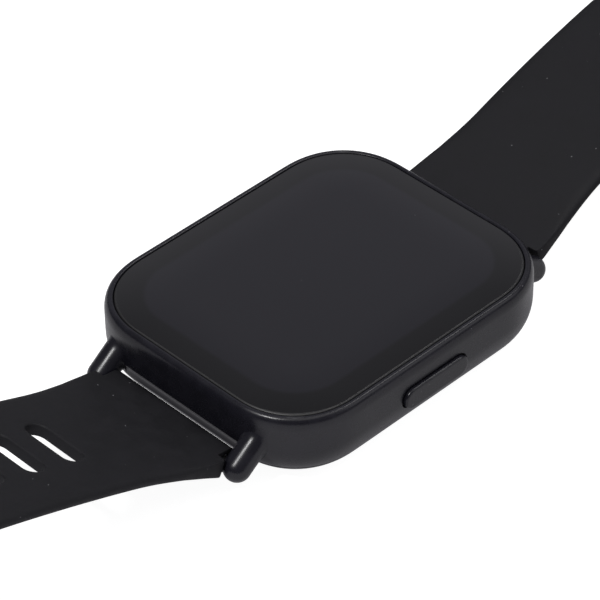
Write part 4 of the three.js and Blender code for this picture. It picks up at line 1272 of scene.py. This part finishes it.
# ---- Add-on ---------------------------------------------------------------------------------
class WatchLook(bpy.types.PropertyGroup):
    """Colours and light levels of the watch and its studio."""

    case_colour: bpy.props.FloatVectorProperty(
        name="Case colour", description="Colour of the case, button and back cover",
        default=(0.0072, 0.0070, 0.0102), size=3, subtype="COLOR", min=0.0, max=1.0)
    strap_colour: bpy.props.FloatVectorProperty(
        name="Strap colour", description="Colour of the silicone strap and its loops",
        default=(0.0062, 0.0061, 0.0076), size=3, subtype="COLOR", min=0.0, max=1.0)
    fill: bpy.props.FloatProperty(
        name="Fill light", description="Brightness of the light from all round",
        default=0.36, min=0.0, soft_max=3.0)
    # The floor's own glow where the camera sees it: the floor is white by this glow, not by lamp
    # light.
    table: bpy.props.FloatProperty(
        name="Table light", description="How far the white table is overexposed where it is seen",
        default=0.95, min=0.0, soft_max=2.0)
    key: bpy.props.FloatProperty(
        name="Key light", description="Power of the softbox above the watch, in watts",
        default=6.0, min=0.0, soft_max=100.0)


FINISHES = {}


def finish_of(slot):
    """A finish by its slot's name, made the first time it is asked for."""
    if not FINISHES:
        FINISHES.update(make_finishes(bpy.context.scene.watch_look))
    return FINISHES[slot]


class WATCH_OT_case(bpy.types.Operator):
    """Build the case with its lugs, scoops and button recess"""

    bl_idname = "watch.case"
    bl_label = "Case"

    def execute(self, context):
        make_case(finish_of("case_plastic"))
        return {"FINISHED"}


class WATCH_OT_glass(bpy.types.Operator):
    """Build the domed cover glass and the sensor's lens"""

    bl_idname = "watch.glass"
    bl_label = "Glass"

    def execute(self, context):
        make_glass(finish_of("dark_glass"))
        make_sensor_lens(finish_of("dark_glass"))
        return {"FINISHED"}


class WATCH_OT_button(bpy.types.Operator):
    """Build the side button"""

    bl_idname = "watch.button"
    bl_label = "Button"

    def execute(self, context):
        make_button(finish_of("case_plastic"))
        return {"FINISHED"}


class WATCH_OT_back(bpy.types.Operator):
    """Build the back cover with its sensor bump"""

    bl_idname = "watch.back"
    bl_label = "Back cover"

    def execute(self, context):
        make_back(finish_of("case_plastic"))
        return {"FINISHED"}


class WATCH_OT_strap(bpy.types.Operator):
    """Build both strap halves along their centre lines"""

    bl_idname = "watch.strap"
    bl_label = "Strap"

    def execute(self, context):
        make_strap(finish_of("silicone"))
        return {"FINISHED"}


class WATCH_OT_coils(bpy.types.Operator):
    """Wind the springs inside both spring bars"""

    bl_idname = "watch.coils"
    bl_label = "Spring bar coils"

    def execute(self, context):
        make_coils(finish_of("steel"))
        return {"FINISHED"}


class WATCH_OT_keepers(bpy.types.Operator):
    """Build the fixed and the sliding keeper"""

    bl_idname = "watch.keepers"
    bl_label = "Keepers"

    def execute(self, context):
        make_keepers(finish_of("silicone"))
        return {"FINISHED"}


class WATCH_OT_buckle(bpy.types.Operator):
    """Build the buckle, its tongue and its pin"""

    bl_idname = "watch.buckle"
    bl_label = "Buckle"

    def execute(self, context):
        make_buckle(finish_of("black_steel"))
        soften("buckle_tongue", "tongue_blade", "black_steel", "tongue",
               finish_of("black_steel"), 0.22)
        soften("buckle_pin", "pin_rod", "steel", "buckle", finish_of("steel"), 0.12, angle=60)
        return {"FINISHED"}


class WATCH_OT_inside(bpy.types.Operator):
    """Give every part that keeps its own shape its finish"""

    bl_idname = "watch.inside"
    bl_label = "Inside parts"

    def execute(self, context):
        for part in frame["record"]["subparts"]:
            node = frame["nodes"][part["node"]]
            finish = finish_of(part["material_slot"])
            node.data.materials.clear()
            node.data.materials.append(finish)
        return {"FINISHED"}


class WATCH_OT_stage(bpy.types.Operator):
    """Set the floor, the lights and the camera"""

    bl_idname = "watch.stage"
    bl_label = "Stage"

    def execute(self, context):
        make_stage(context.scene.watch_look)
        return {"FINISHED"}


class WATCH_PT_panel(bpy.types.Panel):
    """Lists the watch's colours, light and building steps"""

    bl_idname = "WATCH_PT_panel"
    bl_label = "Square smartwatch"
    bl_space_type = "VIEW_3D"
    bl_region_type = "UI"
    bl_category = "Watch"

    def draw(self, context):
        look = context.scene.watch_look
        for name in ("case_colour", "strap_colour", "fill", "table", "key"):
            self.layout.prop(look, name)
        for step in STEPS:
            self.layout.operator(step.bl_idname)


STEPS = (WATCH_OT_case, WATCH_OT_glass, WATCH_OT_button, WATCH_OT_back, WATCH_OT_strap,
         WATCH_OT_coils, WATCH_OT_keepers, WATCH_OT_buckle, WATCH_OT_inside, WATCH_OT_stage)
CLASSES = (WatchLook, *STEPS, WATCH_PT_panel)


def register():
    for made in CLASSES:
        bpy.utils.register_class(made)
    bpy.types.Scene.watch_look = bpy.props.PointerProperty(type=WatchLook)


def unregister():
    del bpy.types.Scene.watch_look
    for made in reversed(CLASSES):
        bpy.utils.unregister_class(made)


def main():
    """Builds the watch and its stage."""
    register()
    for step in STEPS:
        group, name = step.bl_idname.split(".")
        getattr(getattr(bpy.ops, group), name)()


if __name__ == "__main__":
    main()
